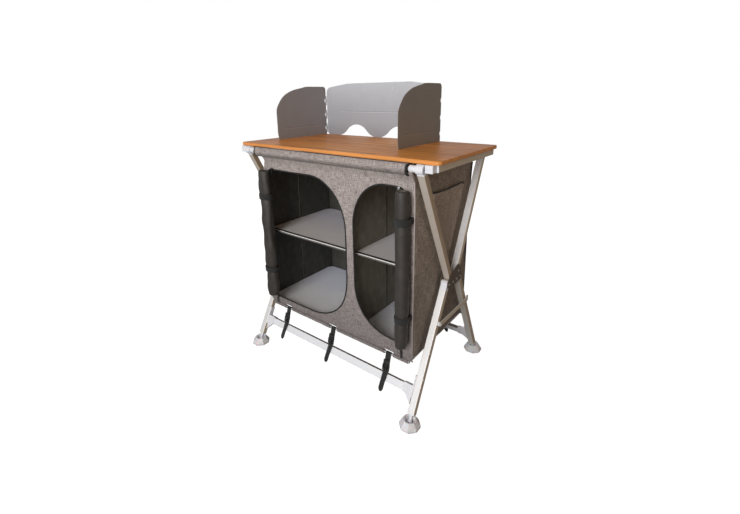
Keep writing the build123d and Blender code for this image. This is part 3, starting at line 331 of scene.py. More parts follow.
def melange_cloth(name, dark=1.0, painted_shade_tint=(1, 1, 1), round_tube=False):
    """Grey-brown cross weave with slubs both ways, after the cloth's own flat cut."""
    nodes = Nodes(name, Roughness=0.92, Sheen_Weight=0.12, Sheen_Roughness=0.5)
    flat = nodes.place(uv=True)
    weft = nodes.noise(nodes.place((0.045, 0.85, 1), uv=True), detail=2.0)
    warp = nodes.noise(nodes.place((0.85, 0.045, 1), uv=True), detail=2.0)
    thread_u = nodes.math("SINE", nodes.math("MULTIPLY", nodes.axis(flat, "X"), 5.2))
    thread_v = nodes.math("SINE", nodes.math("MULTIPLY", nodes.axis(flat, "Y"), 5.2))
    weave = nodes.math("ADD", nodes.math("MULTIPLY", nodes.math("MULTIPLY", thread_u, thread_v), 0.5), 0.5)
    slubs = nodes.math("ADD", weft, warp)
    which = nodes.math("ADD", nodes.math("MULTIPLY", slubs, 0.5), nodes.math("MULTIPLY", weave, 0.12))
    patches = nodes.noise(nodes.place((0.02, 0.02, 0.02), uv=True), detail=4.0)
    dark_thread, light_thread = colours().cloth_dark, colours().cloth_light
    thread = nodes.ramp(
        which,
        (0.44, rgba(dark_thread, 0.8 * dark)),
        (0.53, rgba(light_thread, 0.56 * dark)),
        (0.63, rgba(light_thread, dark)),
    )
    cloudy = nodes.ramp(patches, (0.3, (0.90, 0.89, 0.88, 1)), (0.7, (1.0, 1.0, 1.0, 1)))
    thread = nodes.mix(1.0, thread, cloudy, "MULTIPLY")
    # Painted shade: the cloth is darkened towards its foot and lightened a little near its top.
    height = nodes.math("DIVIDE", nodes.axis(nodes.place(), "Z"), 800.0)
    painted_height_shade = nodes.ramp(
        height, (0.22, (0.60, 0.60, 0.61, 1)), (0.62, (0.98, 0.98, 0.98, 1)), (0.85, (1.08, 1.07, 1.06, 1))
    )
    # The painted shade tint darkens and colours a whole cloth.
    thread = nodes.mix(1.0, nodes.mix(1.0, thread, painted_height_shade, "MULTIPLY"), (*painted_shade_tint, 1.0), "MULTIPLY")
    # Painted shade on round tubes: the underside is darkened, and a painted shadow line runs along the
    # up-facing top.
    if round_tube:
        upward = nodes.math("ADD", nodes.math("MULTIPLY", nodes.facing("Z"), 0.5), 0.5)
        dust_and_painted_shade = nodes.ramp(upward, (0.12, 0.50), (0.34, 0.62), (0.52, 1.0), (0.9, 0.95), (0.97, 0.12))
        thread = nodes.mix(1.0, thread, dust_and_painted_shade, "MULTIPLY")
    nodes.feed("Base Color", thread)
    nodes.bump((slubs, 0.25), (weave, 0.12))
    return nodes.material


def coated_cloth(name, colour, rough, crease, gloss=1.35, stops=()):
    """Smooth coated cloth: fine weave, small creases, painted shade in their low spots and a painted sheen on
    the high spots.
    """
    nodes = Nodes(name, Roughness=rough, Sheen_Weight=0.05)
    flat = nodes.place(uv=True)
    fine = nodes.math("SINE", nodes.math("MULTIPLY", nodes.axis(flat, "X"), 7.0))
    cross = nodes.math("SINE", nodes.math("MULTIPLY", nodes.axis(flat, "Y"), 7.0))
    grid = nodes.math("MULTIPLY", nodes.math("ADD", fine, cross), 0.25)
    creases = nodes.noise(nodes.place((0.035, 0.02, 0.03), uv=True), detail=6.0, rough=0.62, distort=0.6)
    # Painted shade in the creases' low spots and a painted sheen on their high spots, lighter by gloss.
    tone = nodes.ramp(creases, (0.3, rgba(colour, 0.8)), (0.5, rgba(colour)), (0.72, rgba(colour, gloss)))
    # Painted light and shade laid along an axis by the stops.
    if stops:
        tone = nodes.paint_light_and_shade(tone, *stops)
    nodes.feed("Base Color", tone)
    nodes.feed("Roughness", nodes.ramp(creases, (0.3, rough + 0.08), (0.7, rough - 0.08)))
    nodes.bump((creases, 2.5 * crease), (grid, 0.1))
    return nodes.material


def webbing(name):
    """Woven black tape: ribs across it, small herringbone along it and paler worn edges."""
    nodes = Nodes(name, Roughness=0.72, Sheen_Weight=0.1)
    flat = nodes.place(uv=True)
    ribs = nodes.math("SINE", nodes.math("MULTIPLY", nodes.axis(flat, "Y"), 3.6))
    rows = nodes.math("SINE", nodes.math("MULTIPLY", nodes.axis(flat, "X"), 4.4))
    weave = nodes.math("ADD", nodes.math("MULTIPLY", nodes.math("MULTIPLY", ribs, rows), 0.5), 0.5)
    dust_and_painted_shade = nodes.noise(nodes.place((0.3, 0.3, 0.3), uv=True), detail=4.0)
    colour = colours().webbing
    worn = nodes.ramp(dust_and_painted_shade, (0.35, rgba(colour)), (0.75, rgba(colour, 2.4)))
    nodes.feed("Base Color", nodes.mix(weave, rgba(colour, 0.6), worn))
    nodes.bump((weave, 0.35))
    return nodes.material


def bamboo(name):
    """Laminated bamboo: strips along X with their own tones, dark fibres, and plies on the edges."""
    nodes = Nodes(name, Specular_IOR_Level=0.24)
    where = nodes.place()
    across = nodes.axis(where, "Y")
    strip = nodes.math("FLOOR", nodes.math("DIVIDE", across, 19.0))
    chance = nodes.add("TexWhiteNoise", {"W": strip}, noise_dimensions="1D").outputs[0]
    shift = nodes.math("MULTIPLY", chance, 900.0)
    along = nodes.math("ADD", nodes.axis(where, "X"), shift)
    length = nodes.math("FLOOR", nodes.math("DIVIDE", along, 420.0))
    piece = nodes.add("CombineXYZ", {0: length, 1: strip}).outputs[0]
    tone = nodes.add("TexWhiteNoise", {"Vector": piece}, noise_dimensions="2D").outputs[0]
    fibres = nodes.noise(nodes.place((0.006, 0.42, 0.42)), detail=6.0, rough=0.6)
    long_streaks = nodes.noise(nodes.place((0.0035, 0.055, 0.05)), detail=3.0)
    pores = nodes.noise(nodes.place((0.05, 1.9, 1.9)), detail=2.0)
    base, deep = colours().bamboo, colours().bamboo_dark
    wood = nodes.ramp(fibres, (0.33, rgba(base, 0.62)), (0.5, rgba(base, 0.96)), (0.68, rgba(base, 1.3)))
    wood = nodes.mix(nodes.ramp(long_streaks, (0.52, 0.0), (0.66, 0.8)), wood, rgba(deep))
    own_tone = nodes.ramp(tone, (0.0, (0.45, 0.42, 0.40, 1)), (1.0, (1.0, 1.0, 1.0, 1)))
    wood = nodes.mix(0.55, wood, own_tone, "MULTIPLY")
    wood = nodes.mix(nodes.ramp(pores, (0.62, 0.0), (0.70, 0.5)), wood, rgba(deep, 0.7))
    # Painted light: tints along X make the top lightest and palest in the middle and warmer towards both
    # ends.
    wood = nodes.paint_light_and_shade(wood, *BAMBOO_TINTS)
    height = nodes.axis(where, "Z")
    ply = nodes.noise(nodes.add("CombineXYZ", {2: height}).outputs[0], scale=0.9, detail=1.0)
    plies = nodes.ramp(ply, (0.42, rgba(base, 0.62)), (0.5, rgba(base, 1.5)), (0.62, rgba(base, 1.05)))
    flatness = nodes.math("ABSOLUTE", nodes.facing("Z"))
    side = nodes.ramp(flatness, (0.35, 1.0), (0.75, 0.0))
    # Painted shade: the edge tint darkens the edge faces a little.
    edge = nodes.mix(1.0, nodes.mix(0.6, wood, plies), BAMBOO_EDGE_TINT, "MULTIPLY")
    nodes.feed("Base Color", nodes.mix(side, wood, edge))
    joint = nodes.math("PINGPONG", across, 9.5)
    groove = nodes.ramp(nodes.math("DIVIDE", joint, 9.5), (0.0, 0.0), (0.03, 1.0))
    nodes.feed("Roughness", nodes.ramp(fibres, (0.3, 0.46), (0.7, 0.34)))
    nodes.bump((fibres, 0.12), (groove, 0.06))
    return nodes.material


def metal(
    name, colour, grain=(1, 0, 0), *, rough, metallic, drawn=0.35, ribs=(), cap=None, painted_top_shadow=False,
    sides=None, stops=(),
):
    """Satin metal with fine lines drawn along a direction, smudges and small scratches.

    ribs have a painted highlight and painted shade along each rib, stops and sides paint light and shade onto
    the colour, a flag paints a shadow on the faces that look up, and cap is the height above which it is
    white plastic.
    """
    nodes = Nodes(name, Metallic=metallic)
    where = nodes.place()
    direction = Vector(grain).normalized()
    dot = nodes.add("VectorMath", {0: where, 1: tuple(direction)}, operation="DOT_PRODUCT").outputs["Value"]
    back = tuple(direction * -0.985)
    stretch = nodes.add("VectorMath", {0: back, "Scale": dot}, operation="SCALE").outputs[0]
    lines = nodes.add("VectorMath", {0: where, 1: stretch}, operation="ADD").outputs[0]
    fine = nodes.noise(lines, scale=2.6, detail=3.0)
    smudge = nodes.noise(where, scale=0.018, detail=5.0, rough=0.6)
    scratch = nodes.ramp(nodes.noise(lines, scale=0.55, detail=2.0, distort=0.4), (0.66, 0.0), (0.72, 1.0))
    tone = nodes.ramp(fine, (0.3, rgba(colour, 0.90)), (0.7, rgba(colour, 1.06)))
    tone = nodes.mix(nodes.ramp(smudge, (0.45, 0.0), (0.75, 0.30)), tone, rgba(colour, 0.82))
    tone = nodes.mix(nodes.math("MULTIPLY", scratch, 0.25), tone, rgba(colour, 1.2))
    # Painted highlight and painted shade along each rib, laid over the tone.
    for along, start, stop, height in ribs:
        reach = nodes.axis(where, along)
        after, before = nodes.math("GREATER_THAN", reach, start), nodes.math("LESS_THAN", reach, stop)
        within = nodes.math("MULTIPLY", after, before)
        across = nodes.math("SUBTRACT", nodes.axis(where, "Z"), height)
        profile = nodes.ramp(
            nodes.math("DIVIDE", nodes.math("ADD", across, 5.0), 10.0),
            (0.30, 0.5), (0.40, 1.0), (0.50, 0.75), (0.56, 0.0), (0.70, 0.5),
        )
        light = nodes.mix(nodes.math("MULTIPLY", within, 0.9), (0.5, 0.5, 0.5, 1), profile)
        tone = nodes.mix(1.0, tone, light, "OVERLAY")
    # Painted light and shade laid along an axis by the stops.
    if stops:
        tone = nodes.paint_light_and_shade(tone, *stops)
    # Painted shade: faces that look sideways along X are darkened by the sides tint.
    if sides:
        sideways = nodes.math("ABSOLUTE", nodes.facing("X"))
        dull = nodes.ramp(sideways, (0.4, (1.0, 1.0, 1.0, 1)), (0.75, (*sides, 1.0)))
        tone = nodes.mix(1.0, tone, dull, "MULTIPLY")
    if cap is not None:
        above = nodes.ramp(nodes.math("SUBTRACT", nodes.axis(where, "Z"), cap), (0.0, 0.0), (0.02, 1.0))
        tone = nodes.mix(above, tone, rgba(colours().plastic))
        nodes.feed("Metallic", nodes.math("MULTIPLY", nodes.math("SUBTRACT", 1.0, above), metallic))
    # Painted shadow: faces that look upwards are darkened almost to brown-black.
    if painted_top_shadow:
        tone = nodes.mix(nodes.ramp(nodes.facing("Z"), (0.55, 0.0), (0.75, 0.95)), tone, TOP_SHADOW_TINT)
    nodes.feed("Base Color", tone)
    uneven = nodes.math("ADD", nodes.math("MULTIPLY", fine, 0.10), nodes.math("MULTIPLY", smudge, 0.12))
    nodes.feed("Roughness", nodes.math("ADD", uneven, rough - 0.1))
    nodes.bump((fine, 0.03 * drawn), (scratch, 0.02))
    return nodes.material


def edging(name, top, colour):
    """Shelf edging: a black gasket line, a bright lip, and a dull grey-brown wrapped rim with fine ribs."""
    nodes = Nodes(name, Roughness=0.45)
    where = nodes.place()
    wander = nodes.math("MULTIPLY", nodes.noise(nodes.place((0.02, 0.02, 0.02)), detail=2.0), 1.4)
    depth = nodes.math("SUBTRACT", top + 0.7, nodes.math("ADD", nodes.axis(where, "Z"), wander))
    share = nodes.math("DIVIDE", depth, 10.0)
    gasket, lip, shadow = rgba((0.012, 0.012, 0.012)), rgba(colour, 1.4), rgba((0.05, 0.045, 0.04))
    rim, foot = rgba((0.20, 0.175, 0.165)), rgba((0.11, 0.095, 0.09))
    band = nodes.ramp(
        share, (0.10, gasket), (0.17, lip), (0.46, lip), (0.52, shadow), (0.66, rim), (0.9, foot)
    )
    ribs = nodes.noise(nodes.place((0.9, 0.2, 0.2)), detail=3.0)
    nodes.feed("Base Color", nodes.mix(1.0, band, nodes.ramp(ribs, (0.35, 0.7), (0.65, 1.0)), "MULTIPLY"))
    nodes.feed("Metallic", nodes.ramp(share, (0.13, 0.0), (0.16, 0.3), (0.36, 0.3), (0.40, 0.0)))
    nodes.bump((ribs, 0.2))
    return nodes.material


def moulded(name, colour, rough=0.42, cloudy=0.0):
    """Moulded plastic: a fine spark-eroded skin, soft flow marks and a little dirt in the low spots."""
    nodes = Nodes(name, Roughness=rough, Subsurface_Weight=cloudy, Subsurface_Scale=0.004)
    where = nodes.place()
    skin = nodes.noise(where, scale=1.6, detail=2.0)
    flow = nodes.noise(where, scale=0.045, detail=4.0, distort=0.8)
    dirt = nodes.ramp(nodes.noise(where, scale=0.12, detail=6.0, rough=0.65), (0.5, 0.0), (0.8, 0.36))
    tone = nodes.ramp(flow, (0.3, rgba(colour, 0.93)), (0.7, rgba(colour, 1.04)))
    nodes.feed("Base Color", nodes.mix(dirt, tone, rgba(colour, 0.62)))
    nodes.feed("Roughness", nodes.ramp(flow, (0.3, rough + 0.07), (0.7, rough - 0.05)))
    nodes.bump((skin, 0.06), (flow, 0.25))
    return nodes.material


def painted(name, colour, rough=0.5):
    """Powder-coated steel: orange-peel skin, with the coat rubbed thin in places."""
    nodes = Nodes(name, Roughness=rough, Metallic=0.25)
    where = nodes.place()
    peel = nodes.noise(where, scale=0.8, detail=2.0)
    speck = nodes.noise(where, scale=2.4, detail=1.0)
    rub = nodes.ramp(nodes.noise(where, scale=0.09, detail=6.0, rough=0.7), (0.55, 0.0), (0.75, 0.6))
    tone = nodes.ramp(speck, (0.35, rgba(colour, 0.82)), (0.65, rgba(colour, 1.15)))
    nodes.feed("Base Color", nodes.mix(rub, tone, rgba(colour, 1.7)))
    nodes.feed("Roughness", nodes.ramp(peel, (0.3, rough + 0.06), (0.7, rough - 0.06)))
    nodes.bump((peel, 0.12))
    return nodes.material


def laminate(name, colour):
    """Light grey laminated board with a faint leather-like print, scuffs and a satin surface."""
    nodes = Nodes(name, Roughness=0.4, Coat_Weight=0.1, Coat_Roughness=0.3)
    where = nodes.place()
    grain = nodes.noise(where, scale=0.7, detail=3.0)
    haze = nodes.noise(where, scale=0.008, detail=4.0)
    scuffs = nodes.noise(nodes.place((0.25, 0.03, 0.1)), detail=4.0, distort=1.0)
    scuff = nodes.ramp(scuffs, (0.64, 0.0), (0.74, 0.35))
    tone = nodes.ramp(haze, (0.3, rgba(colour, 0.92)), (0.7, rgba(colour, 1.08)))
    tone = nodes.mix(scuff, tone, rgba(colour, 1.35))
    # Painted light and shade: the boards are darker at the front and lighter and bluer towards the middle and
    # back.
    nodes.feed("Base Color", nodes.paint_light_and_shade(tone, *BOARD_TINTS))
    nodes.feed("Roughness", nodes.ramp(grain, (0.3, 0.46), (0.7, 0.36)))
    nodes.bump((grain, 0.05))
    return nodes.material


FINISHES = {}


def finish_of(key):
    """A finish, made the first time that it is asked for."""
    if key not in FINISHES:
        palette = colours()
        makers = {
            "cloth": lambda: melange_cloth("melange_cloth"),
            # The sleeves carry painted shade: a darker underside and a painted shadow line along the top.
            "sleeve": lambda: melange_cloth("sleeve_cloth", 0.97, round_tube=True),
            # Painted shade: the side cloths are darkened and browned by a tint.
            "side": lambda: melange_cloth("side_cloth", 1.0, SIDE_CLOTH_TINT),
            # The pocket cloth is 1.2 times lighter, and a painted shade tint darkens and browns it.
            "pocket": lambda: melange_cloth("pocket_cloth", 1.2, POCKET_TINT),
            "piping": lambda: melange_cloth("piping_cloth", 1.35),
            # Painted light: the lining is about four times lighter right of the dividing wall than left of
            # it, with a painted sheen on its creases' high spots.
            "lining": lambda: coated_cloth(
                "black_lining", palette.lining, rough=0.7, crease=0.5, stops=LINING_TINTS
            ),
            # Painted sheen on the rolled doors' crease tops, lighter by gloss, with painted shade in the
            # crease hollows.
            "roll": lambda: coated_cloth("rolled_door_cloth", palette.roll, rough=0.5, crease=0.4, gloss=1.5),
            "webbing": lambda: webbing("black_webbing"),
            "thread": lambda: painted(
                "sewing_thread", shade(palette.cloth_light, (0.8, 0.8, 0.8)), rough=0.8
            ),
            "dark_thread": lambda: painted("dark_sewing_thread", (0.02, 0.02, 0.02), rough=0.8),
            "buckle": lambda: moulded("black_buckle_plastic", (0.014, 0.014, 0.014), rough=0.36),
            "zip": lambda: metal("zip_metal", (0.62, 0.62, 0.64), rough=0.25, metallic=1.0),
            "bamboo": lambda: bamboo("laminated_bamboo"),
            "plastic": lambda: moulded("white_plastic", palette.plastic),
            "foot": lambda: moulded("foot_plastic", palette.foot, rough=0.3, cloudy=0.25),
            "plate": lambda: painted("coated_plate", palette.plate),
            "steel": lambda: metal("bright_steel", (0.66, 0.66, 0.66), rough=0.28, metallic=1.0),
            # Painted light: the back sheet grows lighter from its foot to its top edge, and its rib carries a
            # painted highlight and shade.
            "guard": lambda: metal(
                "guard_sheet", palette.guard, (0, 0, 1), rough=0.5, metallic=0.1, drawn=0.2,
                ribs=(("X", -264, 117, 896),), stops=GUARD_TINTS,
            ),
            # Painted shade: the wings are a darker, browner copy of the guard's colour, darker and browner
            # still towards the right, and each rib carries a painted highlight and shade.
            "wing": lambda: metal(
                "guard_wing_sheet", shade(palette.guard, WING_TINT), (0, 0, 1), rough=0.5, metallic=0.1,
                drawn=0.2, ribs=(("Y", -39, 157, 840),), stops=WING_TINTS,
            ),
            "board": lambda: laminate("grey_laminate", palette.board),
        }
        FINISHES[key] = makers[key]()
    return FINISHES[key]


def dress(nodes, material):
    """Gives frame pieces a finish."""
    for name in nodes:
        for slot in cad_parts[name].material_slots:
            slot.material = material


def cloth_grid(width, length, cell=None):
    """A flat cloth in X and Y, centred, with its flat cut kept as a UV map in metres."""
    cell = cell or sizes().cloth_cell / MM
    made = bmesh.new()
    flat = made.loops.layers.uv.new("cloth")
    across, along = max(1, round(width / cell)), max(1, round(length / cell))
    bmesh.ops.create_grid(made, x_segments=across, y_segments=along, size=0.5)
    bmesh.ops.scale(made, vec=(width, length, 1), verts=made.verts)
    for face in made.faces:
        for loop in face.loops:
            loop[flat].uv = loop.vert.co.xy * MM
    return made


def trim_mesh():
    """An empty mesh for a trim, with the UV map that its finish reads."""
    made = bmesh.new()
    made.loops.layers.uv.new("cloth")
    return made


def axes(across, up, forward):
    """A turn and stretch that carries X, Y and Z to three vectors."""
    return Matrix((across, up, forward)).transposed().to_4x4()


def lay(made, place):
    """Moves each point of a flat cloth to where it hangs."""
    for vert in made.verts:
        vert.co = Vector(place(vert.co.x, vert.co.y))
    made.normal_update()


def soft(x, y, z, scale, depth, seed=0.0):
    """Smooth noise at a point, with a wavelength and a depth in millimetres."""
    return depth * noise.noise(Vector((x / scale + seed, y / scale - seed, z / scale + 2 * seed)))


def to_object(name, made, materials, outward=None, wall=None, smooth=True):
    """Turns a mesh in millimetres into an object in metres, facing outwards, with a wall if it is cloth."""
    if outward is not None:
        facing = (
            face.normal.dot(outward(face.calc_center_median())) * face.calc_area() for face in made.faces
        )
        if sum(facing) < 0:
            bmesh.ops.reverse_faces(made, faces=made.faces)
    bmesh.ops.scale(made, vec=(MM, MM, MM), verts=made.verts)
    data = bpy.data.meshes.new(name)
    made.to_mesh(data)
    made.free()
    piece = bpy.data.objects.new(name, data)
    bpy.context.scene.collection.objects.link(piece)
    for material in materials:
        data.materials.append(material)
    if smooth:
        data.shade_smooth()
    if wall:
        solid = piece.modifiers.new("wall", "SOLIDIFY")
        solid.thickness = wall * MM
        solid.offset = -1.0
        solid.use_even_offset = True
        solid.material_offset = 1
        solid.material_offset_rim = 0
    return piece


def apply_modifiers(piece):
    """Bakes a piece's modifiers into its mesh."""
    bpy.context.view_layer.update()
    source = piece.evaluated_get(bpy.context.evaluated_depsgraph_get())
    data = bpy.data.meshes.new_from_object(source)
    piece.modifiers.clear()
    piece.data = data


def join(name, pieces):
    """Joins pieces into the first one."""
    for piece in pieces:
        apply_modifiers(piece)
    bpy.ops.object.select_all(action="DESELECT")
    for piece in pieces:
        piece.select_set(True)
    bpy.context.view_layer.objects.active = pieces[0]
    bpy.ops.object.join()
    pieces[0].name = name
    return pieces[0]


def hang(piece, end, slot, *nodes):
    """Ties a soft piece to the upper frame at one end, so that it moves with the frame."""
    if piece.modifiers:
        apply_modifiers(piece)
    body = "front_upper_frame" if end == "front" else "rear_frame"
    if nodes:
        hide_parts(*nodes)
    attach(piece, body)
    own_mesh(piece)


def sweep(made, stations, sides, closed=False):
    """A tube through a row of placed unit circles."""
    rings = []
    for station in stations:
        verts = bmesh.ops.create_circle(made, segments=sides, radius=1.0, matrix=station)["verts"]
        rings.append(list(dict.fromkeys(edge for vert in verts for edge in vert.link_edges)))
    following = rings[1:] + (rings[:1] if closed else [])
    for one, two in zip(rings, following):
        bmesh.ops.bridge_loops(made, edges=one + two)
    if not closed:
        for ring in (rings[0], rings[-1]):
            bmesh.ops.edgeloop_fill(made, edges=ring)


def stations(points, wide, thick=None, closed=False, flat=Vector((0, 1, 0))):
    """Placed circles along a path: wide in the path's own surface and thick along the flat direction."""
    count = len(points)
    placed = []
    for index, point in enumerate(points):
        if closed:
            ahead, behind = points[(index + 1) % count], points[index - 1]
        else:
            ahead, behind = points[min(index + 1, count - 1)], points[max(index - 1, 0)]
        forward = (Vector(ahead) - Vector(behind)).normalized()
        side = forward.cross(flat).normalized()
        up = side.cross(forward).normalized()
        placed.append(Matrix.Translation(point) @ axes(side * wide, up * (thick or wide), forward))
    return placed


def resample(points, step, closed=False):
    """Evenly spaced points along a path."""
    line = [Vector(point) for point in points]
    if closed:
        line.append(line[0].copy())
    lengths = [0.0]
    for one, two in zip(line, line[1:]):
        lengths.append(lengths[-1] + (two - one).length)
    count = max(2, round(lengths[-1] / step))
    result, index = [], 0
    for number in range(count if closed else count + 1):
        target = lengths[-1] * number / count
        while index < len(lengths) - 2 and lengths[index + 1] < target:
            index += 1
        span = max(lengths[index + 1] - lengths[index], 1e-9)
        result.append(line[index].lerp(line[index + 1], (target - lengths[index]) / span))
    return result


def straight_row(start, end, count=30):
    """Pairs of numbers, evenly spaced from a start to an end."""
    return [
        (start[0] + (end[0] - start[0]) * i / count, start[1] + (end[1] - start[1]) * i / count)
        for i in range(count + 1)
    ]


def even_turns(count):
    """Angles that go once round a circle."""
    return [step * math.tau / count for step in range(count)]


def stitch_row(made, points, normal, lift, length=2.8):
    """A row of short stitches along a path on a cloth."""
    pitch = sizes().stitch / MM
    path = resample(points, pitch)
    for one, two in zip(path, path[1:]):
        forward = (two - one).normalized()
        side = forward.cross(normal).normalized()
        basis = axes(side * STITCH_THICK, normal * STITCH_THICK, forward * length / 2)
        place = Matrix.Translation((one + two) / 2 + normal * lift) @ basis
        bmesh.ops.create_icosphere(made, subdivisions=1, radius=1.0, matrix=place)


def box_at(made, centre, size):
    """A block of a size, centred at a point."""
    matrix = Matrix.Translation(centre) @ Matrix.Diagonal((*size, 1.0))
    return bmesh.ops.create_cube(made, size=1.0, matrix=matrix)["verts"]


def round_edges(made, width, segments, verts):
    """Rounds the edges between some of a mesh's points."""
    chosen = set(verts)
    edges = [edge for edge in made.edges if all(vert in chosen for vert in edge.verts)]
    bmesh.ops.bevel(
        made, geom=edges, offset=width, segments=segments, affect="EDGES", profile=0.5, material=-1
    )


def bend(height, knots):
    """A value read off a row of (height, value) knots, with smooth turns."""
    if height <= knots[0][0]:
        return knots[0][1]
    for (z0, v0), (z1, v1) in zip(knots, knots[1:]):
        if height <= z1:
            share = (height - z0) / (z1 - z0)
            share = share * share * (3 - 2 * share) * 0.5 + share * 0.5
            return v0 + (v1 - v0) * share
    return knots[-1][1]


FRONT_PROFILE = (
    (BAG_LOW, -175.5), (186, -181.6), (200, BAG_FRONT), (655, BAG_FRONT), (733, -186.2), (766, -203.5)
)
REAR_PROFILE = ((BAG_LOW, 170.5), (190, BAG_BACK), (625, BAG_BACK), (733, 183.4), (766, 201))

DOORS = (
    {"near": 76, "far": -300, "top": 711, "low": 208, "crown": (150, 170, 2.0), "foot": (196, 184, 2.4)},
    {"near": 108, "far": 300, "top": 718, "low": 231, "crown": (122, 142, 2.0), "foot": (148, 158, 2.2)},
)
TIGHT = 26


def door_outline(door):
    """The closed outline of a door opening as (x, z): two large soft corners and two tight ones."""
    near, far, top, low = door["near"], door["far"], door["top"], door["low"]
    way = 1 if near > far else -1
    tight = (TIGHT, TIGHT, 2.0)
    corners = (
        (near, top, -way, -1, door["crown"], False),
        (far, top, way, -1, tight, True),
        (far, low, way, 1, tight, False),
        (near, low, -way, 1, door["foot"], True),
    )
    points = []
    for x, z, inward, up, (reach_x, reach_z, power), turned in corners:
        arc = []
        for step in range(CORNER_STEPS + 1):
            angle = math.pi / 2 * step / CORNER_STEPS
            out_x = math.cos(angle) ** (2 / power)
            out_z = math.sin(angle) ** (2 / power)
            arc.append((x + inward * reach_x * (1 - out_x), z + up * reach_z * (1 - out_z)))
        points += reversed(arc) if turned else arc
    return points


def inside(outline, x, z):
    """Whether a point lies inside a closed outline."""
    within = False
    for (x0, z0), (x1, z1) in zip(outline, outline[1:] + outline[:1]):
        if (z0 > z) != (z1 > z) and x < x0 + (x1 - x0) * (z - z0) / (z1 - z0):
            within = not within
    return within


def outline_area(outline):
    """The area inside a closed outline."""
    pairs = zip(outline, outline[1:] + outline[:1])
    return abs(sum(x0 * z1 - x1 * z0 for (x0, z0), (x1, z1) in pairs)) / 2


def panel_cut(profile, outlines=()):
    """A panel's flat size and area, in metres, along a profile, less its openings and the straps' gaps."""
    low, high = profile[0][0], profile[-1][0]
    heights = [low + (high - low) * step / 300 for step in range(301)]
    points = [(bend(z, profile), z) for z in heights]
    length = sum(math.dist(one, two) for one, two in zip(points, points[1:]))
    gaps = len(STRAP_X) * 2 * STRAP_GAP * STRAP_GAP_RISE
    cut_away = sum(outline_area(outline) for outline in outlines) + gaps
    return (2 * BAG_HALF * MM, length * MM), (2 * BAG_HALF * length - cut_away) * MM * MM


def calm_near_seams(z):
    """How freely a panel may swell: 0 at its top and foot seams, and 1 between them."""
    return min(1.0, max(0.0, (z - CALM_LOW) / 30)) * min(1.0, max(0.0, (CALM_HIGH - z) / 40))


def front_y(x, z):
    """Where the front cloth hangs: its profile, with soft drapes below the sleeve and above the hem."""
    depth = sizes().fold_depth / MM
    swell = soft(x, 0, z, 90, depth * 0.7, 3.1) + soft(x, 0, z, 34, depth * 0.35, 7.7)
    drape = 0.8 * math.sin(x / 23 + math.sin(x / 71)) * math.exp(-((z - 742) / 26) ** 2)
    return bend(z, FRONT_PROFILE) + calm_near_seams(z) * swell + drape


DRAWN_FROM = -250
DRAWN_DEPTH = 120
LEFT_EDGE = ((BAG_LOW, -321), (500, -316), (650, -310), (709, -300), (749, -290), (766, -292))


def drawn_in(x, z, depth=0.0):
    """An x on the cabinet's cloth, drawn in at the upper left corner, and less so behind the front."""
    if x > DRAWN_FROM:
        return x
    share = max(0.0, 1 - depth / DRAWN_DEPTH) ** 1.5
    edge = -BAG_HALF + (bend(z, LEFT_EDGE) + BAG_HALF) * share
    return DRAWN_FROM + (x - DRAWN_FROM) * (edge - DRAWN_FROM) / (-DRAWN_FROM - BAG_HALF)


class CampKitchenPiece:
    """What every operator here shares."""

    bl_options = {"REGISTER", "UNDO"}


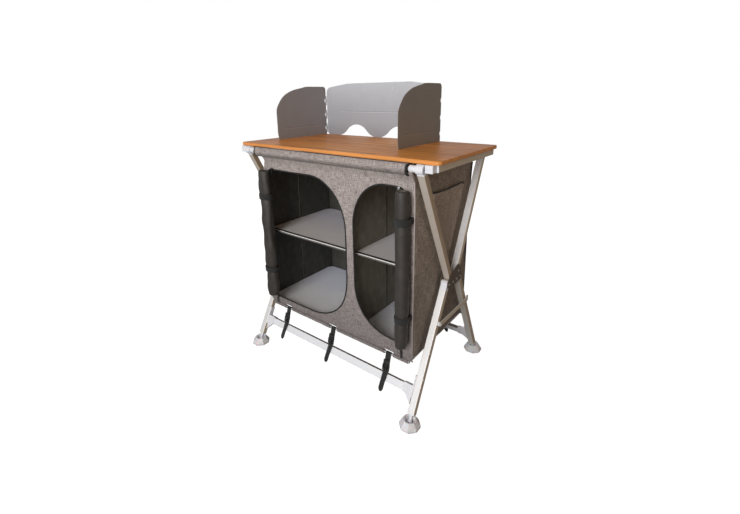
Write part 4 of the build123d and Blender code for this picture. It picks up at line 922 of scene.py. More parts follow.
class CAMPKITCHEN_OT_stage(CampKitchenPiece, bpy.types.Operator):
    """Makes the floor, the lamps, the world and the camera"""

    bl_idname = "camp_kitchen.stage"
    bl_label = "Stage"

    def execute(self, context):
        scene = context.scene
        floor = bmesh.new()
        bmesh.ops.create_circle(floor, cap_ends=True, segments=96, radius=FLOOR_RADIUS)
        piece = to_object("studio_floor", floor, [self.floor_finish()], smooth=False)
        self.add_lamp("key_lamp", KEY_PLACE, KEY_TARGET, sizes().key_power, KEY_SIZE)
        scene.world = self.sky()
        self.add_camera(scene)
        scene.view_settings.view_transform = "Standard"
        return {"FINISHED"}

    def floor_finish(self):
        """Pale floor with a faint shadow near the kitchen, which fades to the white background far off."""
        nodes = Nodes("pale_floor", Roughness=0.9)
        where = nodes.add("TexCoord", {}).outputs["Object"]
        mottle = nodes.noise(where, scale=6.0, detail=3.0)
        nodes.feed("Base Color", nodes.ramp(mottle, (0.3, 0.34), (0.7, 0.36)))
        radius = nodes.add("VectorMath", {0: where}, operation="LENGTH").outputs["Value"]
        glow = nodes.ramp(nodes.math("DIVIDE", radius, 3.0), (0.2, 0.93), (0.5, 1.0))
        seen = nodes.add("LightPath", {})
        rays = nodes.math("MAXIMUM", seen.outputs["Is Camera Ray"], seen.outputs["Is Transmission Ray"])
        nodes.shader.inputs["Emission Color"].default_value = (1, 1, 1, 1)
        nodes.feed("Emission Strength", nodes.math("MULTIPLY", glow, rays))
        return nodes.material

    def add_lamp(self, name, place, target, power, size):
        """A soft rectangular lamp that faces a point."""
        data = bpy.data.lights.new(name, "AREA")
        data.energy = power
        data.shape = "RECTANGLE"
        data.size, data.size_y = size
        lamp = bpy.data.objects.new(name, data)
        lamp.location = place
        lamp.rotation_euler = (Vector(target) - Vector(place)).to_track_quat("-Z", "Y").to_euler()
        bpy.context.scene.collection.objects.link(lamp)

    def sky(self):
        """Soft room light, cooler from the left and warmer from the right, and white behind the floor."""
        world = bpy.data.worlds.new("studio")
        world.use_nodes = True
        tree = world.node_tree
        tree.nodes.clear()

        def add(kind, *links, **values):
            node = tree.nodes.new("ShaderNode" + kind)
            for socket, output in enumerate(links):
                tree.links.new(output, node.inputs[socket])
            for name, value in values.items():
                node.inputs[name].default_value = value
            return node

        across = add("SeparateXYZ", add("TexCoord").outputs["Generated"]).outputs["X"]
        side = add("MapRange", across, **{"From Min": -0.6, "From Max": 0.9}).outputs[0]
        tint = tree.nodes.new("ShaderNodeValToRGB")
        tint.color_ramp.elements[0].color = SKY_LEFT
        tint.color_ramp.elements[1].color = SKY_RIGHT
        tree.links.new(side, tint.inputs[0])
        light = add("Background", tint.outputs[0], Strength=sizes().room_light)
        gloss = add("Background", tint.outputs[0], Strength=SKY_GLOSS * sizes().room_light)
        white = add("Background", Color=(1, 1, 1, 1), Strength=1.0)
        seen = add("LightPath")
        lit = add("MixShader", seen.outputs["Is Glossy Ray"], light.outputs[0], gloss.outputs[0])
        through = tree.nodes.new("ShaderNodeMath")
        through.operation = "MAXIMUM"
        tree.links.new(seen.outputs["Is Camera Ray"], through.inputs[0])
        tree.links.new(seen.outputs["Is Transmission Ray"], through.inputs[1])
        mixed = add("MixShader", through.outputs[0], lit.outputs[0], white.outputs[0])
        add("OutputWorld", mixed.outputs[0])
        return world

    def add_camera(self, scene):
        """The camera at the photograph's place."""
        azimuth, elevation, roll = (math.radians(CAMERA[name]) for name in ("azimuth", "elevation", "roll"))
        back = Vector((
            math.sin(azimuth) * math.cos(elevation),
            -math.cos(azimuth) * math.cos(elevation),
            math.sin(elevation),
        ))
        right = Vector((math.cos(azimuth), math.sin(azimuth), 0))
        up = back.cross(right)
        right, up = (
            right * math.cos(roll) + up * math.sin(roll),
            up * math.cos(roll) - right * math.sin(roll),
        )
        data = bpy.data.cameras.new("camera")
        data.sensor_width = CAMERA["sensor"]
        data.lens = CAMERA["focal"] / PHOTO_WIDTH * CAMERA["sensor"]
        data.shift_x = (PHOTO_WIDTH / 2 - CAMERA["centre"][0]) / PHOTO_WIDTH
        data.shift_y = -(PHOTO_HEIGHT / 2 - CAMERA["centre"][1]) / PHOTO_WIDTH
        data.clip_start = 0.05
        camera = bpy.data.objects.new("camera", data)
        camera.matrix_world = Matrix.Translation(CAMERA["place"]) @ axes(right, up, back)
        scene.collection.objects.link(camera)
        scene.camera = camera


class CAMPKITCHEN_OT_top(CampKitchenPiece, bpy.types.Operator):
    """Finishes the bamboo top"""

    bl_idname = "camp_kitchen.top"
    bl_label = "Bamboo top"

    def execute(self, context):
        dress(["table_top"], finish_of("bamboo"))
        return {"FINISHED"}


class CAMPKITCHEN_OT_frame(CampKitchenPiece, bpy.types.Operator):
    """Finishes the aluminium legs, bars, braces, rails and tubes, each along its own drawn lines"""

    bl_idname = "camp_kitchen.frame"
    bl_label = "Aluminium frame"

    def execute(self, context):
        colour = colours().aluminium
        legs = {
            "upper_front_legs": (-TUBE_Y - PIVOTS["front_upper"], TUBE_Z - PIVOT_HEIGHT),
            "upper_rear_legs": (TUBE_Y - PIVOTS["rear_upper"], TUBE_Z - PIVOT_HEIGHT),
            "lower_front_legs": (-TOE_Y - PIVOTS["front_lower"], TOE_Z - PIVOT_HEIGHT),
            "lower_rear_legs": (TOE_Y - PIVOTS["rear_lower"], TOE_Z - PIVOT_HEIGHT),
        }
        for name, (across, up) in legs.items():
            cap = PIVOT_HEIGHT - PLUG_RISE if name.startswith("lower") else None
            shiny = 0.0 if name == "upper_rear_legs" else 0.3
            # Painted light and shade: each set of legs has its own tint, the upper rear legs much lighter,
            # and faces that look sideways are darkened and browned.
            finish = metal(
                f"leg_{name}", shade(colour, LEG_TINTS[name]), (0, across, up), metallic=shiny, rough=0.42,
                cap=cap, sides=LEG_SIDE_TINT,
            )
            dress([name], finish)
        # Painted shade: the sideways faces of the braces and rails are darkened and browned.
        along = metal("drawn_along_y", colour, (0, 1, 0), metallic=0.2, rough=0.45, sides=BRACE_SIDE_TINT)
        dress(["side_braces", "side_rails"], along)
        # Painted light: the cross bars are lightened, with a painted shadow on their up-facing faces.
        lengthwise = metal(
            "drawn_along_x", shade(colour, CROSS_BAR_TINT), (1, 0, 0), metallic=0.1, rough=0.4, painted_top_shadow=True
        )
        dress(["front_cross_bar", "rear_cross_bar"], lengthwise)
        bright = tuple(min(1.0, 1.1 * channel) for channel in colour)
        bare = metal("bright_tube", bright, (1, 0, 0), metallic=0.8, rough=0.28)
        dress(["front_top_tube", "rear_top_tube", "front_hem_rod", "rear_hem_rod"], bare)
        dress(["shelf_profiles"], edging("shelf_edging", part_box("shelf_profiles")[1][2] / MM, colour))
        return {"FINISHED"}


class CAMPKITCHEN_OT_mouldings(CampKitchenPiece, bpy.types.Operator):
    """Finishes the white plastic joints, caps, blocks and brackets, and the foot pads"""

    bl_idname = "camp_kitchen.mouldings"
    bl_label = "Plastic mouldings"

    def execute(self, context):
        white = [
            "rail_end_caps", "latch_blocks", "rear_tees", "front_tees", "front_knuckle_plugs",
            "rear_knuckle_plugs", "front_bar_brackets", "rear_bar_brackets", "brace_bushes",
            "front_foot_stems", "rear_foot_stems",
        ]
        dress(white, finish_of("plastic"))
        pads = [f"foot_pad_{end}_{side}" for end in ("front", "rear") for side in ("left", "right")]
        dress(pads, finish_of("foot"))
        return {"FINISHED"}


class CAMPKITCHEN_OT_steel(CampKitchenPiece, bpy.types.Operator):
    """Finishes the coated pivot plates, the rivets and the screws"""

    bl_idname = "camp_kitchen.steel"
    bl_label = "Plates and rivets"

    def execute(self, context):
        dress(["pivot_plates"], finish_of("plate"))
        dress(["plate_rivets", "front_bar_screws", "rear_bar_screws", "guard_hinge_pins"], finish_of("steel"))
        return {"FINISHED"}


class CAMPKITCHEN_OT_guard(CampKitchenPiece, bpy.types.Operator):
    """Finishes the sheets of the wind guard"""

    bl_idname = "camp_kitchen.guard"
    bl_label = "Wind guard"

    def execute(self, context):
        dress(["guard_back"], finish_of("guard"))
        dress(["guard_wing_left", "guard_wing_right"], finish_of("wing"))
        return {"FINISHED"}


class CAMPKITCHEN_OT_boards(CampKitchenPiece, bpy.types.Operator):
    """Finishes the shelf and floor boards"""

    bl_idname = "camp_kitchen.boards"
    bl_label = "Boards"

    def execute(self, context):
        dress(["shelf_boards", "floor_boards"], finish_of("board"))
        return {"FINISHED"}


def make_hem(end):
    """The cloth round a hem rod, which goes where the rod goes."""
    finishes = [finish_of("cloth"), finish_of("lining")]

    def from_rod(centre):
        return Vector((0, centre.y - HEM_Y[end], centre.z - HEM_Z))

    parts = [
        to_object(f"{end}_hem_{number}", tube, finishes, from_rod, 1.0)
        for number, tube in enumerate(hem_tubes(end))
    ]
    hem = join(f"{end}_hem_cloth", parts)
    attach(hem, f"{end}_hem")


def hem_tubes(end):
    """The tubes of cloth round a hem rod, cut away where the straps pass."""
    y = HEM_Y[end]
    edges = [-HEM_HALF] + [x + side * STRAP_GAP for x in STRAP_X for side in (-1, 1)] + [HEM_HALF]
    parts = []
    for left, right in zip(edges[::2], edges[1::2]):
        middle = (left + right) / 2
        made = cloth_grid(right - left, 2 * math.pi * HEM_RADIUS, 3.5)

        def place(s, t, middle=middle):
            x = middle + s
            angle = t / HEM_RADIUS
            radius = HEM_RADIUS + soft(x, angle * 4, 0, 14, 0.5, 1.3)
            return x, y + radius * math.sin(angle), HEM_Z - radius * math.cos(angle)

        lay(made, place)
        bmesh.ops.remove_doubles(made, verts=made.verts, dist=0.02)
        parts.append(made)
    return parts


class CAMPKITCHEN_OT_front_cloth(CampKitchenPiece, bpy.types.Operator):
    """Makes the front cloth with its two door openings, bindings, piping and stitching, and the front hem"""

    bl_idname = "camp_kitchen.front_cloth"
    bl_label = "Front cloth"

    def execute(self, context):
        outlines = [door_outline(door) for door in DOORS]
        cell = sizes().cloth_cell / MM
        low, high = BAG_LOW, FRONT_PROFILE[-1][0]
        made = cloth_grid(2 * BAG_HALF, high - low)
        middle = (low + high) / 2
        doomed = []
        for face in made.faces:
            centre = face.calc_center_median()
            x, z = centre.x, centre.y + middle
            if any(inside(outline, x, z) for outline in outlines):
                doomed.append(face)
            elif z < low + STRAP_GAP_RISE and any(abs(x - strap) < STRAP_GAP for strap in STRAP_X):
                doomed.append(face)
        bmesh.ops.delete(made, geom=doomed, context="FACES")
        rims = [resample([(x, z, 0) for x, z in outline], 0.7, closed=True) for outline in outlines]
        tree = kdtree.KDTree(sum(len(rim) for rim in rims))
        for index, point in enumerate([point for rim in rims for point in rim]):
            tree.insert(point, index)
        tree.balance()
        for vert in made.verts:
            if vert.is_boundary:
                point, _, distance = tree.find((vert.co.x, vert.co.y + middle, 0))
                if distance < 1.5 * cell:
                    vert.co.x, vert.co.y = point.x, point.y - middle
        lay(made, lambda s, t: (drawn_in(s, t + middle), front_y(s, t + middle), t + middle))
        ahead = Vector((0, -1, 0))
        cloths = [finish_of("cloth"), finish_of("lining")]
        cloth = to_object("front_cloth", made, cloths, lambda c: ahead, sizes().cloth_thick / MM)
        make_hem("front")
        trims = [self.binding(outlines), self.seams(), self.corner_piping()]
        flat, area = panel_cut(FRONT_PROFILE, outlines)
        hang(cloth, "front", "melange_cloth", "bag_front_panel")
        for trim, slot in zip(trims, ("webbing", "melange_cloth", "melange_cloth")):
            hang(trim, "front", slot)
        return {"FINISHED"}

    def binding(self, outlines):
        """Black binding round both doors, over a row of zip teeth."""
        made = trim_mesh()
        radius = sizes().piping / MM
        for outline in outlines:
            path = resample([(drawn_in(x, z), front_y(x, z) - 0.6, z) for x, z in outline], 5.0, closed=True)
            sweep(made, stations(path, radius, radius * 0.72, closed=True), sides=8, closed=True)
            teeth = resample([(drawn_in(x, z), front_y(x, z) + 0.9, z) for x, z in outline], 4.0, closed=True)
            for one, two in zip(teeth, teeth[1:]):
                forward = (two - one).normalized()
                inward = forward.cross(Vector((0, 1, 0)))
                basis = axes(inward * 1.9, Vector((0, 0.8, 0)), forward * 0.8)
                for way in (-1, 1):
                    place = Matrix.Translation((one + two) / 2 + inward * way * 1.6) @ basis
                    bmesh.ops.create_icosphere(made, subdivisions=1, radius=1.0, matrix=place)
        return to_object("door_bindings", made, [finish_of("webbing")])

    def seams(self):
        """Stitch rows: below the sleeve, above the hem, down the middle post and along both corners."""
        made = bmesh.new()
        normal = Vector((0, -1, 0))
        reach = BAG_HALF - SEAM_INSET

        def row(points):
            stitch_row(made, [(drawn_in(x, z), front_y(x, z), z) for x, z in points], normal, lift=0.25)

        for z in (TOP_SEAM, FOOT_SEAM):
            row(straight_row((-reach, z), (reach, z), 60))
        for x in (-BAG_HALF + CORNER_INSET, BAG_HALF - CORNER_INSET):
            row(straight_row((x, 200), (x, 748)))
        row(straight_row((POST_SEAM_X, 190), (POST_SEAM_X, 752)))
        return to_object("front_stitching", made, [finish_of("thread")])

    def corner_piping(self):
        """Cloth-covered piping down both front corners."""
        made = trim_mesh()
        for x in (-BAG_HALF, BAG_HALF):
            heights = [192 + 8 * i for i in range(69)]
            path = [
                (drawn_in(x, z), bend(z, FRONT_PROFILE) + soft(x, 0, z, 60, 0.6, 4.0), z) for z in heights
            ]
            sweep(made, stations(path, 2.0), sides=8)
        return to_object("corner_piping", made, [finish_of("piping")])


class CAMPKITCHEN_OT_back_cloth(CampKitchenPiece, bpy.types.Operator):
    """Makes the back cloth with its seams, and the rear hem"""

    bl_idname = "camp_kitchen.back_cloth"
    bl_label = "Back cloth"

    def execute(self, context):
        low, high = BAG_LOW, REAR_PROFILE[-1][0]
        middle = (low + high) / 2
        made = cloth_grid(2 * BAG_HALF, high - low, 6.0)
        doomed = [
            face
            for face in made.faces
            if face.calc_center_median().y + middle < low + STRAP_GAP_RISE
            and any(abs(face.calc_center_median().x - strap) < STRAP_GAP for strap in STRAP_X)
        ]
        bmesh.ops.delete(made, geom=doomed, context="FACES")
        lay(made, lambda s, t: (s, self.back_y(s, t + middle), t + middle))
        behind = Vector((0, 1, 0))
        cloths = [finish_of("cloth"), finish_of("lining")]
        cloth = to_object("back_cloth", made, cloths, lambda c: behind, sizes().cloth_thick / MM)
        make_hem("rear")
        seams = bmesh.new()
        reach = BAG_HALF - SEAM_INSET
        rows = [straight_row((-reach, z), (reach, z), 60) for z in (TOP_SEAM, FOOT_SEAM)]
        corner = BAG_HALF - CORNER_INSET
        rows += [straight_row((x, 195), (x, 750)) for x in (-corner, DIVIDER_X - 4, DIVIDER_X + 4, corner)]
        for points in rows:
            stitch_row(seams, [(x, self.back_y(x, z), z) for x, z in points], behind, lift=0.25)
        stitching = to_object("back_stitching", seams, [finish_of("thread")])
        flat, area = panel_cut(REAR_PROFILE)
        hang(cloth, "rear", "melange_cloth", "bag_back_panel")
        hang(stitching, "rear", "melange_cloth")
        return {"FINISHED"}

    def back_y(self, x, z):
        """Where the back cloth hangs, drawn in along the seam at the dividing wall."""
        depth = sizes().fold_depth / MM
        seam = -1.4 * math.exp(-(((x - DIVIDER_X) / 9) ** 2))
        swell = soft(x, 5, z, 110, depth * 1.1, 2.2) + soft(x, 5, z, 38, depth * 0.35, 6.1)
        return bend(z, REAR_PROFILE) + calm_near_seams(z) * (swell + seam + 0.6)


class CAMPKITCHEN_OT_sleeves(CampKitchenPiece, bpy.types.Operator):
    """Makes the padded sleeves round the top tubes, with black bound ends"""

    bl_idname = "camp_kitchen.sleeves"
    bl_label = "Sleeves"

    def execute(self, context):
        half, radius, tall, middle = 314, 13.2, 16.6, TUBE_Z - 3
        for end, way in ENDS:
            y = way * TUBE_Y
            made = cloth_grid(2 * half, math.pi * (radius + tall), 4.0)

            def place(s, t, y=y, way=way):
                angle = 2 * t / (radius + tall)
                pull = soft(s, angle * 9, 3 * way, 30, 0.55) + soft(s * 0.5, angle * 7, way, 9, 0.3)
                calm = min(1.0, (half - abs(s)) / 12) * (pull - 0.25)
                lift = 1.6 * max(0.0, -math.cos(angle))
                z = middle - (tall + calm + lift) * math.cos(angle)
                return s, y + (radius + calm) * math.sin(angle), min(SLEEVE_CEILING, z)

            lay(made, place)
            bmesh.ops.remove_doubles(made, verts=made.verts, dist=0.02)
            around = lambda c, y=y: Vector((0, c.y - y, c.z - middle))
            sleeve = to_object(f"{end}_sleeve", made, [finish_of("sleeve"), finish_of("lining")], around, 1.6)
            trims = trim_mesh()
            for x in (-half, half):
                ring = []
                for degrees in range(0, 360, 12):
                    angle = math.radians(degrees)
                    z = min(RING_CEILING, middle - (tall - 0.6) * math.cos(angle))
                    ring.append((x, y + (radius - 0.6) * math.sin(angle), z))
                around_x = stations(ring, 2.3, 3.4, closed=True, flat=Vector((1, 0, 0)))
                sweep(trims, around_x, sides=10, closed=True)
            bound = to_object(f"{end}_sleeve_bindings", trims, [finish_of("webbing")])
            hang(sleeve, end, "melange_cloth", f"bag_{CAD_END[end]}_sleeve")
            hang(bound, end, "webbing")
        return {"FINISHED"}


def side_swell(y, z, seed):
    """How far a side cloth stands out: folds fan from the upper front corner, with a crease at the shelf."""
    depth = sizes().fold_depth / MM
    calm = min(1.0, (z - 186) / 25, (BAG_TOP - z) / 20, (y + 184) / 14, (178 - y) / 14)
    fan = math.sin(math.atan2(z - 800, y + 330) * 26 + seed) * 0.9
    crease = 3.4 * math.exp(-abs(z - 479 - (y + 120) * 0.05) / 7) * max(0.0, min(1.0, (-40 - y) / 50))
    swell = soft(seed, y, z, 95, depth * 1.3, seed) + soft(seed, y, z, 30, depth * 0.4, seed + 4)
    return max(0.0, calm) * (1.2 + swell + fan) + crease


def side_x(sign, y, z):
    """Where a side cloth hangs."""
    bulge = 0.4 + side_swell(y, z, 3.0 * sign)
    return drawn_in(sign * BAG_HALF, z, y - BAG_FRONT) + sign * bulge


class CAMPKITCHEN_OT_side_cloths(CampKitchenPiece, bpy.types.Operator):
    """Makes both side cloths, each in a front and a rear half that lap over one another"""

    bl_idname = "camp_kitchen.side_cloths"
    bl_label = "Side cloths"

    def execute(self, context):
        for side, sign in SIDES:
            for end, _ in ENDS:
                self.half(side, sign, end)
        return {"FINISHED"}

    def half(self, side, sign, end):
        """One half of a side cloth, with its stitching, and at the rear its binding."""
        low, high = 190, BAG_TOP

        def edge(z):
            if end == "front":
                return bend(z, FRONT_PROFILE) + 1.6, SEAM_Y + LAP
            return SEAM_Y, bend(z, REAR_PROFILE) - 1.6

        width = (SEAM_Y + LAP - BAG_FRONT) if end == "front" else BAG_BACK - SEAM_Y
        made = cloth_grid(width, high - low)
        over = 1.5 if end == "front" else 0.0

        def place(s, t):
            z = (low + high) / 2 + t
            outer = 0.5 - s / width if end == "front" else 0.5 + s / width
            z += 19 * max(0.0, (z - 690) / (high - 690)) * max(0.0, 1 - (1 - outer) * width / 60) ** 1.5
            start, stop = edge(z)
            y = start + (stop - start) * (s / width + 0.5)
            lap = over * max(0.0, min(1.0, (y - SEAM_Y + 30) / 26))
            return side_x(sign, y, z) + sign * lap, y, z

        lay(made, place)
        outward = Vector((sign, 0, 0))
        name = f"side_cloth_{side}_{end}"
        cloth = to_object(name, made, [finish_of("side"), finish_of("lining")], lambda c: outward, 1.2)
        seams = bmesh.new()
        profile, inset = (FRONT_PROFILE, CORNER_INSET) if end == "front" else (REAR_PROFILE, -11)
        points = [(bend(z, profile) + inset, z) for z in range(196, 744, 12)]
        stitch_row(seams, [(side_x(sign, y, z), y, z) for y, z in points], outward, lift=0.3)
        stitching = to_object(f"side_stitching_{side}_{end}", seams, [finish_of("thread")])
        pieces = [stitching]
        if end == "rear":
            trim = trim_mesh()
            path = [(sign * (BAG_HALF + 0.6), bend(z, REAR_PROFILE) - 1.0, z) for z in range(190, 750, 10)]
            sweep(trim, stations(path, 2.0, 4.2, flat=Vector((0, 1, 0))), sides=8)
            pieces.append(to_object(f"side_binding_{side}", trim, [finish_of("webbing")]))
        hang(cloth, end, "melange_cloth", f"bag_sides_{CAD_END[end]}")
        for piece in pieces:
            hang(piece, end, "webbing" if "binding" in piece.name else "melange_cloth")


INNER_FRONT = -178
INNER_BACK = 169
WALL_LOW = 188
WALL_HIGH = 744
WALL_ASIDE = 0.6
CLOTH_FLOOR_Z = 185.6
FLOOR_DROP = 1.2


class CAMPKITCHEN_OT_inner_cloths(CampKitchenPiece, bpy.types.Operator):
    """Makes the black dividing wall and the cloth floor, in lapped halves"""

    bl_idname = "camp_kitchen.inner_cloths"
    bl_label = "Dividing wall and cloth floor"

    def execute(self, context):
        lining, cloth = finish_of("lining"), finish_of("cloth")
        along_x = Vector((1, 0, 0))
        for end, _ in ENDS:
            start, stop = (INNER_FRONT, SEAM_Y + LAP) if end == "front" else (SEAM_Y, INNER_BACK)
            aside = WALL_ASIDE if end == "front" else -WALL_ASIDE
            wall = cloth_grid(stop - start, WALL_HIGH - WALL_LOW, 7.0)

            def hang_wall(s, t, start=start, stop=stop, aside=aside):
                y, z = (start + stop) / 2 + s, (WALL_LOW + WALL_HIGH) / 2 + t
                calm = min(1.0, (y - INNER_FRONT) / 20, (INNER_BACK - y) / 20)
                return DIVIDER_X + aside + calm * soft(0, y, z, 80, 0.8, 9.0), y, z

            lay(wall, hang_wall)
            piece = to_object(f"dividing_wall_{end}", wall, [lining, lining], lambda c: along_x, 0.8)
            hang(piece, end, "melange_cloth", f"bag_wall_{CAD_END[end]}")
            floor = cloth_grid(2 * BAG_HALF - 1, stop - start, 7.0)
            drop = 0.0 if end == "front" else FLOOR_DROP

            def hang_floor(s, t, start=start, stop=stop, drop=drop):
                y = (start + stop) / 2 + t
                sag = soft(s, y, 0, 70, 1.0, 5.0) - 1.2
                return s, y, CLOTH_FLOOR_Z - drop + min(0.0, sag)

            lay(floor, hang_floor)
            piece = to_object(f"cloth_floor_{end}", floor, [cloth, lining], lambda c: Vector((0, 0, -1)), 0.9)
            hang(piece, end, "melange_cloth", f"bag_floor_{CAD_END[end]}")
        return {"FINISHED"}


POCKET_TOP = (-90, 118)
POCKET_FOOT = (-45, 42)
POCKET_LOW = 476
POCKET_HIGH = 689
POCKET_DROOP = 9.0


class CAMPKITCHEN_OT_pockets(CampKitchenPiece, bpy.types.Operator):
    """Makes the open side pockets with their sagging black mouths, in lapped halves"""

    bl_idname = "camp_kitchen.pockets"
    bl_label = "Side pockets"

    def execute(self, context):
        for side, sign in SIDES:
            for end, _ in ENDS:
                self.half(side, sign, end)
        return {"FINISHED"}

    def half(self, side, sign, end):
        """One half of a pocket: the cloth outside, sewn down at its slanting edge and at its foot."""
        number = 0 if end == "front" else 1
        seam = SEAM_Y + (LAP if end == "front" else 0)
        width = abs(POCKET_TOP[number] - seam)
        height = POCKET_HIGH - POCKET_LOW
        made = cloth_grid(width, height, 4.5)
        over = 0.9 if end == "front" else 0.0

        def mouth(y):
            share = min(1.0, max(0.0, (y - POCKET_TOP[0]) / (POCKET_TOP[1] - POCKET_TOP[0])))
            droop = POCKET_DROOP * math.sin(math.pi * share)
            return POCKET_HIGH - 1 - droop * 0.35 - (8 if y > 90 else 0) * (y - 90) / 28

        def place(s, t):
            share = t / height + 0.5
            edge = POCKET_FOOT[number] + (POCKET_TOP[number] - POCKET_FOOT[number]) * share
            along = s / width + 0.5
            y = edge + (seam - edge) * along if end == "front" else seam + (edge - seam) * along
            z = POCKET_LOW + (mouth(y) - POCKET_LOW) * share
            reach = abs(y - edge)
            from_foot = max(0.0, z - POCKET_LOW)
            rise = min(1.0, math.sqrt(max(0.0, reach) / 16)) * min(1.0, math.sqrt(from_foot / 22))
            belly = 4.4 * rise + soft(y, z, sign, 45, 0.9, 8.0) * rise
            lap = over * max(0.0, min(1.0, (y - SEAM_Y + 20) / 18)) if end == "front" else 0.0
            base = BAG_HALF + 3.2 + side_swell(y, z, 3.0 * sign) * 0.5
            return sign * min(base + belly + lap, BAG_HALF + 10.4), y, z

        lay(made, place)
        outward = Vector((sign, 0, 0))
        piece = to_object(
            f"pocket_{side}_{end}", made, [finish_of("pocket"), finish_of("lining")], lambda c: outward, 0.9
        )
        trim = trim_mesh()
        steps = [i / 24 - 0.5 for i in range(25)]
        rim = [Vector(place(s * width, height / 2)) for s in steps]
        sweep(trim, stations([p - outward * 0.4 for p in rim], 1.6, 2.6, flat=Vector((0, 0, 1))), sides=8)
        binding = to_object(f"pocket_binding_{side}_{end}", trim, [finish_of("webbing")])
        seams = bmesh.new()
        inset = -width / 2 + 5 if end == "front" else width / 2 - 5
        edge = [place(inset, (i / 20 - 0.5) * (height - 10)) for i in range(21)]
        foot = [place((i / 20 - 0.5) * (width - 8), -height / 2 + 5) for i in range(21)]
        stitch_row(seams, edge, outward, lift=0.2)
        stitch_row(seams, foot, outward, lift=0.2)
        stitching = to_object(f"pocket_stitching_{side}_{end}", seams, [finish_of("thread")])
        hang(piece, end, "melange_cloth", f"side_pockets_{CAD_END[end]}")
        hang(binding, end, "webbing")
        hang(stitching, end, "melange_cloth")


ROLLS = (
    {
        "name": "left", "x": -273, "half": 30.0, "z": (230, 709),
        "straps": (338, 617), "crumple": 5.2, "tab": -306,
    },
    {
        "name": "right", "x": 304.6, "half": 23.0, "z": (240, 714),
        "straps": (333, 629), "crumple": 1.1, "tab": 324,
    },
)
ROLL_Y = -208.9
ROLL_DEPTH = 21.4
ROLL_TURNS = 4.25
ROLL_CORE = 0.34


def roll_squeeze(roll, z):
    """How much a rolled door is drawn in at a height: by its straps and at its cinched ends."""
    squeeze = 1.0
    for strap in roll["straps"]:
        squeeze -= 0.10 * math.exp(-(((z - strap) / 15) ** 2))
    low, high = roll["z"]
    squeeze -= 0.16 * math.exp(-((z - low) / 16) ** 2) + 0.10 * math.exp(-((high - z) / 12) ** 2)
    return squeeze


class CAMPKITCHEN_OT_rolls(CampKitchenPiece, bpy.types.Operator):
    """Makes the two doors, each rolled up in a spiral and tied with two bands

    The spiral's turns fill the roll's size, so a roll holds more cloth than its door would.
    """

    bl_idname = "camp_kitchen.rolls"
    bl_label = "Rolled doors"

    def execute(self, context):
        for roll in ROLLS:
            low, high = roll["z"]
            half = roll["half"]
            length = 2 * math.pi * ROLL_TURNS * (half + ROLL_DEPTH) / 2 * (1 + ROLL_CORE) / 2
            made = cloth_grid(length, high - low, 6.0)

            def place(s, t, roll=roll, low=low, high=high, half=half, length=length):
                share = 0.5 - s / length
                z = (low + high) / 2 + t
                angle = 2 * math.pi * ROLL_TURNS * share + 2.2
                size = 1 - (1 - ROLL_CORE) * share
                x_out, y_out = math.cos(angle), math.sin(angle)
                wave = soft(x_out * 20, y_out * 20, z * 0.22, 15, roll["crumple"], roll["x"] / 40)
                fine = soft(x_out * 22 + z * 0.08, y_out * 22, z * 0.10, 7, roll["crumple"] * 0.55, 2.0)
                bow = 1.6 * math.sin(z / 90 + roll["x"])
                grip = roll_squeeze(roll, z) * size
                reach = 1 + (wave + fine - roll["crumple"] * 0.5) / 24 * size
                top = soft(angle, share * 9, 0, 1.3, 3.0) if t > 0 else soft(angle, share * 9, 4, 1.3, 4.0)
                rise = top * max(0.0, abs(t) / (high - low) * 2 - 0.9) * 10
                y = ROLL_Y + ROLL_DEPTH * grip * reach * y_out
                return roll["x"] + bow + half * grip * reach * x_out, y, z + rise

            lay(made, place)
            centre = Vector((roll["x"], ROLL_Y, 0))
            out = lambda c, centre=centre: Vector((c.x - centre.x, c.y - centre.y, 0))
            finishes = [finish_of("roll"), finish_of("lining")]
            cloth = to_object(f"door_roll_{roll['name']}", made, finishes, out, 0.9)
            bands = self.bands(roll)
            hang(cloth, "front", "dark_mesh", "door_rolls")
            hang(bands, "front", "webbing", "roll_straps")
        return {"FINISHED"}

    def bands(self, roll):
        """Two bands round a roll, each with a tab sewn to the cabinet's corner."""
        made = bmesh.new()
        flat = made.loops.layers.uv.new("cloth")
        sign = 1 if roll["x"] > 0 else -1
        for height in roll["straps"]:
            grip = roll_squeeze(roll, height)
            wide, deep = roll["half"] * grip + 1.0, ROLL_DEPTH * grip + 1.0
            loop = [
                (roll["x"] + wide * math.cos(a), ROLL_Y + deep * math.sin(a), height) for a in even_turns(40)
            ]
            sweep(made, stations(loop, 0.9, 10.0, closed=True, flat=Vector((0, 0, 1))), sides=12, closed=True)
            tab = [
                (roll["x"] + sign * wide * 0.86, ROLL_Y + deep * 0.45, height),
                (roll["x"] + sign * (wide * 0.86 + 4), ROLL_Y + deep * 0.45 + 8, height + 1),
                (roll["tab"] - sign * 5, -187.5, height + 2),
                (roll["tab"], -184.9, height + 2),
            ]
            sweep(made, stations(resample(tab, 3.0), 0.9, 8.0, flat=Vector((0, 0, 1))), sides=10)
        for face in made.faces:
            for corner in face.loops:
                at = corner.vert.co
                corner[flat].uv = Vector((at.z, at.x + at.y)) * MM
        return to_object(f"roll_straps_{roll['name']}", made, [finish_of("webbing")])


ZIP_PLACES = ((-254, 713), (278.5, 715))
ZIP_Y = -190.2
TAPE_ENDS = ((-276, -3), (288, 3))


